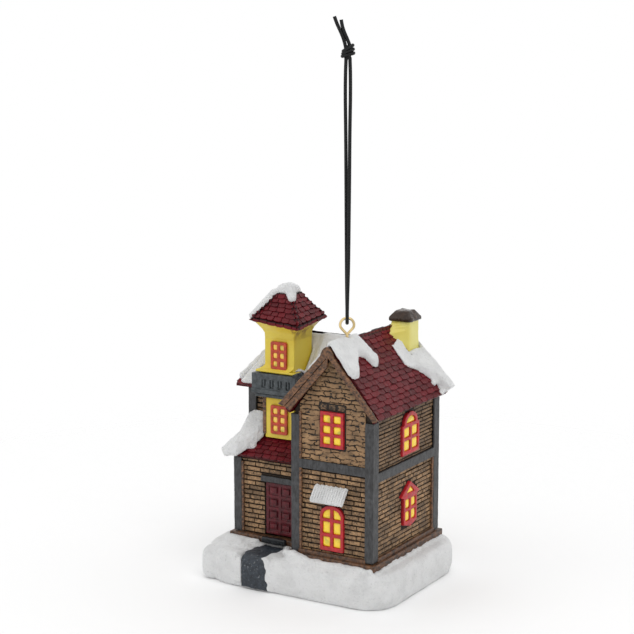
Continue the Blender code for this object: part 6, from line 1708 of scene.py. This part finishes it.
def build_cord():
    """The doubled waxed cord, its knot of three turns and its two tails."""
    settings = bpy.context.scene.house_cord
    centre = eye_centre()
    across = Vector((cos(EYE_TURN), sin(EYE_TURN), 0.0))
    away = Vector((-sin(EYE_TURN), cos(EYE_TURN), 0.0))
    up = Vector((0, 0, 1))
    route = [centre + up * rise + across * side + away * depth for rise, side, depth in CORD_ROUTE]
    points = smooth_route(route, 0.0009)
    cord = tube("black_cord", points, settings.diameter / 2, resolution=3)
    cord.data.materials.append(finishes["waxed cord"])
    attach(cord, BODY)
    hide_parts("hanging_cord")
    knot_low, knot_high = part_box("cord_knot")
    foot = route[0].lerp(route[-1], 0.5) + up * 0.0003
    turns = []
    half = settings.diameter / 2
    for number in range(3):
        loop = []
        tilt = radians(24 + 8 * number)
        for step in range(24):
            angle = 2 * pi * step / 24
            ring = across * (0.00150 - 0.00012 * number) * cos(angle) + away * 0.00105 * sin(angle)
            lean = up * (0.00150 * cos(angle) * tan(tilt) * 0.62)
            loop.append(foot + up * (0.0009 + number * 0.00085) + ring + lean)
        turns.append(mesh_of_curve(tube("turn", loop, half * 0.98, closed=True)))
    core = [foot - up * 0.0004, foot + up * 0.0034]
    turns.append(mesh_of_curve(tube("core", core, half * 1.6)))
    for end in (route[0], route[-1]):
        turns.append(mesh_of_curve(tube("strand",
                                        [end - up * 0.0002, end + up * 0.0003, foot + up * 0.0010],
                                        half * 0.99)))
    top = knot_high.z
    for number, (lean, side) in enumerate(((-0.33, -0.40), (-0.29, 0.40))):
        start = foot + up * 0.0022 + across * 0.0013 * side
        direction = (across * lean + up).normalized()
        tall = (top - start.z - 0.0004) / direction.z - number * 0.0009
        tail = [start + direction * tall * share + across * 0.00025 * sin(share * 5 + number) for share in
                (0.0, 0.2, 0.4, 0.6, 0.8, 1.0)]
        turns.append(mesh_of_curve(tube("tail", smooth_route(tail, 0.0005), half)))
    knot = new_object("knot_turns", join("knot_turns", turns))
    keep_inside(knot, knot_low - up * 0.0008, knot_high)
    settle(knot, "waxed cord", ["cord_knot"], sharp=radians(60))


def paint_node(node, finish):
    """Give a CAD node that stays in view a procedural finish."""
    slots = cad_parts[node].material_slots
    if not slots:
        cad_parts[node].data.materials.append(finishes[finish])
    for slot in slots:
        slot.material = finishes[finish]


def build_light_unit():
    """The light unit in the base: its plastic, steel and board finishes."""
    for node, finish in (
        ("light_housing", "black plastic"), ("battery_cover", "black plastic"),
        ("circuit_board", "circuit lacquer"),
        ("coin_cell", "cell steel"), ("top_contact", "contact steel"), ("side_contact", "contact steel"),
        ("switch_body", "contact steel"), ("switch_knob", "white plastic"), ("led", "clear resin"),
    ):
        paint_node(node, finish)


def build_trims():
    """The thin brown strips beside the posts."""
    strips = []
    for side, place, edge, low, high in (
        ("front", WALLS_LOW.y, POSTS_LOW.x + POST_WIDTH, WALLS_LOW.z, FRONT_BEAM - BEAM_HALF),
        ("front", WALLS_LOW.y, POSTS_LOW.x + POST_WIDTH, FRONT_BEAM + BEAM_HALF, WALLS_LOW.z + 0.040),
        ("front", WING_LOW.y, PORCH_POST_LOW.x + POST_WIDTH, WALLS_LOW.z, PORCH_LOW.z),
        ("front", WING_UP_LOW.y, BAY_LOW.x - 0.0009, PORCH_HIGH.z, WING_UP_HIGH.z),
        ("right", WALLS_HIGH.x, POSTS_HIGH.y - POST_SIDE - 0.0005, WALLS_LOW.z, SIDE_BEAM - BEAM_HALF),
    ):
        outline = rectangle(edge - 0.0001, low, edge + 0.0005, high)
        strips.append(flat_shape("trim_strips", [outline], 0.0008, 0.00012, facing(side, place)))
    bm = bmesh.new()
    bm.from_mesh(join("trim_strips", strips))
    settle(hewn("trim_strips", bm, 0.0008, 0.00004, 0.00014, "board wood", 8), "board wood")


def shingle_slope(blocks, sides, settings, width=None, course=None):
    """Rows of shingles on planes: each side is a plane, its length and its left and right ends."""
    for plane, length, left, right in sides:
        blocks.add_shingles(plane, length, left, right, settings, width=width, course=course)


def square_rings(name, centre, profile):
    """A closed shape of square rings about a vertical axis, from pairs of height and half-width."""
    bm = bmesh.new()
    levels = []
    for height, half in profile:
        square = rectangle(centre.x - half, centre.y - half, centre.x + half, centre.y + half)
        levels.append([bm.verts.new((x, y, height)) for x, y in rounded_corners(square, half * 0.06, 2)])
    skin(bm, levels)
    return new_object(name, mesh_from(name, bm))


def tower_profile():
    """Heights and half-widths of the tower roof: a thick lip, then a slightly hollow slope."""
    lip = TOWER_ROOF_LOW.z - 0.0003
    top = TOWER_ROOF_HIGH.z
    widest, narrowest = 0.00765, 0.0026
    profile = [(lip, widest - 0.0009), (lip + 0.0003, widest - 0.0001), (lip + 0.0011, widest)]
    foot = lip + 0.0014
    for step in range(7):
        share = step / 6
        profile.append((foot + share * (top - foot),
                        narrowest + (widest - 0.0003 - narrowest) * (1 - share) ** 1.22))
    return profile


def build_tower_roof():
    """The tower's scaly, slightly hollow roof with its thick lip, and the flared yellow cornice."""
    settings = bpy.context.scene.house_shingles
    centre = (TOWER_ROOF_LOW + TOWER_ROOF_HIGH) / 2
    profile = tower_profile()
    body = square_rings("tower_roof_body", centre, profile)
    shift_points(body, droop_of_tower)
    settle(body, "shingle paint", ["tower_roof"], sharp=radians(50))
    tower = Blocks(settings.seed + 2)
    for number in range(4):
        turn = Matrix.Rotation(number * pi / 2, 3, "Z")
        for row, (lower, upper) in enumerate(zip(profile[1:], profile[2:])):
            rise, step_in = upper[0] - lower[0], lower[1] - upper[1]
            long = (rise ** 2 + step_in ** 2) ** 0.5
            if long < 0.0006:
                continue
            up = turn @ Vector((0, step_in, rise)) / long
            out = turn @ Vector((0, -rise, step_in)) / long
            origin = Vector((centre.x, centre.y, lower[0])) + turn @ Vector((0, -lower[1], 0))
            face = slope(origin, up, out)
            half = lower[1] - 0.0001
            for a, b in lay_course(-half, half, 0.0026, (row % 2) / 2, tower.chance, 0.18):
                tall = long * tower.chance.uniform(1.22, 1.42)
                size = (b - a - 0.0001, tall, settings.thickness * tower.chance.uniform(0.9, 1.3))
                tower.add(face, (a + b) / 2, tall / 2, size[2] / 2, size, tower.chance.uniform(-0.04, 0.04))
            steps = round(long / 0.0008)
            corner = turn @ Vector((-lower[1], -lower[1], 0)) + Vector((centre.x, centre.y, lower[0]))
            above = turn @ Vector((-upper[1], -upper[1], 0)) + Vector((centre.x, centre.y, upper[0]))
            hip = basis(out, up, up.cross(out), corner)
            middle = (above - corner) / 2
            tower.add(hip, middle.dot(out), middle.dot(up), middle.dot(up.cross(out)),
                      (0.0011, long * 1.05, 0.0011), 0.3 * steps)
    scales = tower.make("tower_shingles", "shingle paint", "roof_burgundy", taper=0.14, wedge=0.6,
                        droop=0.12,
                        unevenness=0.0003, unevenness_scale=430.0, seed=settings.seed + 2)
    shift_points(scales, droop_of_tower)
    half = (TOWER_HIGH.x - TOWER_LOW.x) / 2
    top = TOWER_ROOF_LOW.z
    flare = [(TOWER_HIGH.z - 0.0024, half - 0.0003), (TOWER_HIGH.z - 0.0020, half + 0.00004),
             (TOWER_HIGH.z - 0.0006, half + 0.0001),
             (TOWER_HIGH.z + 0.0004, half + 0.0006), (top - 0.0006, half + 0.0018), (top, half + 0.0023),
             (top + 0.0004, half + 0.0023)]
    flared = square_rings("tower_flare", centre, flare)
    shift_points(flared, droop_of_tower)
    settle(flared, "tower paint", ["tower_cornice"], sharp=radians(60))


def bead(bm, x, y, z, radius, flat=1.0):
    """A ball of snow, flattened if asked, whose place is in millimetres."""
    matrix = Matrix.Translation((x / 1000, y / 1000, z / 1000)) @ Matrix.Diagonal((1.0, 1.0, flat, 1.0))
    bmesh.ops.create_icosphere(bm, subdivisions=2, radius=radius / 1000, matrix=matrix)


def shift_points(obj, move):
    """Move each point of a finished mesh by a function of its place, in millimetres."""
    for vert in obj.data.vertices:
        vert.co += Vector(move(vert.co * 1000)) / 1000


def build_reveals():
    """Dark plates behind the window frames, which close the openings round them."""
    for name, finish, slot, windows in (
        ("window_reveals", "joint wash", "brick_tan", (
            ("front_lower_window", "front", WALLS_LOW.y), ("front_upper_window", "front", WALLS_LOW.y),
            ("side_lower_window", "right", WALLS_HIGH.x), ("side_upper_window", "right", WALLS_HIGH.x),
        )),
        ("tower_reveals", "tower paint", "wall_yellow", (
            ("tower_window", "front", TOWER_LOW.y), ("bay_window", "front", BAY_LOW.y),
        )),
    ):
        plates = []
        for window, side, place in windows:
            low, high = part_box(window + "_frame")
            start, end = (low.x, high.x) if side == "front" else (low.y, high.y)
            plane = facing(side, place) @ Matrix.Translation((0, 0, -0.0004))
            plates.append(flat_shape(name, [rectangle(start, low.z, end, high.z)], 0.00036, 0.00008, plane))
        plate_piece(name, plates, finish)


def droop_of_tower(place):
    """How far a point of the tower's eave hangs or lifts: its near corner hangs, the two beside it lift."""
    centre = (TOWER_ROOF_LOW + TOWER_ROOF_HIGH) * 500
    lip, top, foot = TOWER_ROOF_LOW.z * 1000, TOWER_ROOF_HIGH.z * 1000, 69.8
    weight = held((top - place.z) / (top - lip) if place.z > lip else (place.z - foot) / (lip - foot))
    return (0.0, 0.0, weight * (0.1 + 0.0125 * (place.x - centre.x) * (place.y - centre.y)))


def build_stage():
    """The pale floor, the soft studio light and the camera."""
    settings = bpy.context.scene.house_stage
    bm = bmesh.new()
    bmesh.ops.create_grid(bm, x_segments=1, y_segments=1, size=4.0)
    floor = new_object("studio_floor", mesh_from("studio_floor", bm, False))
    tree, shader, place = start_finish("studio floor", 0.9)
    faint = noise_of(tree, place, 3.0, 1.0)
    reach = add_node(tree, "ShaderNodeVectorMath", {0: place}, operation="LENGTH").outputs["Value"]
    fade = add_node(tree, "ShaderNodeMixShader", {0: ramp(tree, reach, *FLOOR_FADE)})
    tree.links.new(shader.outputs[0], fade.inputs[1])
    tree.links.new(add_node(tree, "ShaderNodeBsdfTransparent").outputs[0], fade.inputs[2])
    tree.links.new(fade.outputs[0], tree.nodes["Material Output"].inputs["Surface"])
    pale = tuple(settings.floor)
    paint(tree, shader, blend_colour(tree, faint, pale, scaled(pale, 0.995)))
    floor.data.materials.append(finishes["studio floor"])
    world = bpy.data.worlds.new("studio light")
    bpy.context.scene.world = world
    world.use_nodes = True
    tree = world.node_tree
    background = tree.nodes["Background"]
    path = add_node(tree, "ShaderNodeLightPath")
    seen = maths(tree, "MAXIMUM", path.outputs["Is Camera Ray"], path.outputs["Is Glossy Ray"])
    seen = maths(tree, "MAXIMUM", seen, path.outputs["Is Transmission Ray"])
    strength = ramp(tree, seen, 0.0, 1.0, settings.fill, 1.0)
    background.inputs["Color"].default_value = (1.0, 1.0, 1.0, 1.0)
    tree.links.new(strength, background.inputs["Strength"])
    for name, place, size, power in (
        ("key_lamp", (0.35, -0.25, 0.75), 0.55, settings.key),
        ("top_lamp", (-0.15, 0.15, 0.9), 0.7, settings.key * 0.8),
        ("side_lamp", (-0.6, -0.6, 0.45), 0.5, settings.key * 0.35),
    ):
        lamp = bpy.data.lights.new(name, "AREA")
        lamp.size = size
        lamp.energy = power
        obj = bpy.data.objects.new(name, lamp)
        obj.location = place
        obj.rotation_euler = (Vector((0, 0, 0.04)) - Vector(place)).to_track_quat("-Z", "Y").to_euler()
        bpy.context.scene.collection.objects.link(obj)
    camera_data = bpy.data.cameras.new("photo_camera")
    camera_data.lens = CAMERA_LENS
    camera_data.sensor_width = 36.0
    camera_data.clip_start = 0.01
    camera_data.clip_end = 50.0
    camera = bpy.data.objects.new("photo_camera", camera_data)
    camera.location = CAMERA_PLACE
    camera.rotation_euler = (Vector(CAMERA_TARGET) - camera.location).to_track_quat("-Z", "Y").to_euler()
    bpy.context.scene.collection.objects.link(camera)
    bpy.context.scene.camera = camera
    bpy.context.scene.view_settings.view_transform = "Standard"


# Operators

def make_operator(idname, label, doc, build):
    """An operator class that runs one building function."""

    def execute(self, context):
        build()
        return {"FINISHED"}

    members = {"bl_idname": "house." + idname, "bl_label": label, "__doc__": doc, "execute": execute}
    return type("HOUSE_OT_" + idname, (Operator,), members)


def make_trees_and_finishes():
    """The node trees and the finishes that every piece uses."""
    make_block_tree()
    make_relief_tree()
    make_finishes()


STEPS = (
    ("prepare", "Finishes", "Make the finishes and the node trees.", make_trees_and_finishes),
    ("stage", "Stage", "Make the floor, the light and the camera.", build_stage),
    ("cord", "Hanging cord", "Make the doubled cord with its knot.", build_cord),
    ("eye", "Screw eye", "Make the brass screw eye.", build_eye),
    ("ground", "Snowy ground", "Make the snowy base and the path.", build_ground),
    ("sill", "Sill course", "Make the brown course under the walls.", build_sill),
    ("bricks", "Brickwork", "Lay the bricks of the walls.", build_brickwork),
    ("gable", "Front gable", "Plaster the front gable.", build_gable),
    ("timbers", "Timbers", "Hew the posts and beams.", build_timbers),
    ("trims", "Trim strips", "Make the thin brown strips.", build_trims),
    ("boards", "Bargeboards", "Make the bargeboards.", build_boards),
    ("roofs", "Shingles", "Lay the shingles of the roofs.", build_roofs),
    ("snow", "Roof snow", "Lay the snow on the roofs.", build_snow),
    ("reveals", "Window reveals", "Make the dark plates behind the frames.", build_reveals),
    ("windows", "Windows", "Make the six windows.", build_windows),
    ("door", "Door", "Make the panelled door.", build_door),
    ("awning", "Awning", "Make the ribbed awning.", build_awning),
    ("chimney", "Chimney", "Make the chimney and its cap.", build_chimney),
    ("tower", "Tower", "Make the tower and its balcony.", build_tower),
    ("tower_roof", "Tower roof", "Make the tower's roof and cornice.", build_tower_roof),
    ("tower_snow", "Tower snow", "Lay the snow on the tower's roof.", build_tower_snow),
    ("light_unit", "Light unit", "Finish the light unit in the base.", build_light_unit),
)
OPERATORS = [make_operator(*step) for step in STEPS]


class HOUSE_PT_builder(Panel):
    """The house's building steps and sizes."""

    bl_label = "Light-up house"
    bl_idname = "HOUSE_PT_builder"
    bl_space_type = "VIEW_3D"
    bl_region_type = "UI"
    bl_category = "House"

    def draw(self, context):
        """List the settings and one button for each step."""
        for name in SETTINGS:
            group = getattr(context.scene, name)
            box = self.layout.box()
            for key in group.__annotations__:
                box.prop(group, key)
        for operator in OPERATORS:
            self.layout.operator(operator.bl_idname)


SETTINGS = {
    "house_bricks": BrickSettings,
    "house_shingles": ShingleSettings,
    "house_snow": SnowSettings,
    "house_windows": WindowSettings,
    "house_cord": CordSettings,
    "house_stage": StageSettings,
}


def register():
    """Register the settings, the operators and the panel."""
    for group in SETTINGS.values():
        bpy.utils.register_class(group)
    for name, group in SETTINGS.items():
        setattr(bpy.types.Scene, name, PointerProperty(type=group))
    for operator in OPERATORS:
        bpy.utils.register_class(operator)
    bpy.utils.register_class(HOUSE_PT_builder)


def unregister():
    """Take back what register() added."""
    bpy.utils.unregister_class(HOUSE_PT_builder)
    for operator in reversed(OPERATORS):
        bpy.utils.unregister_class(operator)
    for name in SETTINGS:
        delattr(bpy.types.Scene, name)
    for group in reversed(list(SETTINGS.values())):
        bpy.utils.unregister_class(group)


def main():
    """Build the house step by step and write its two boxes."""
    register()
    for idname, _label, _doc, _build in STEPS:
        getattr(bpy.ops.house, idname)()
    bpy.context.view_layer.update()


if __name__ == "__main__":
    main()
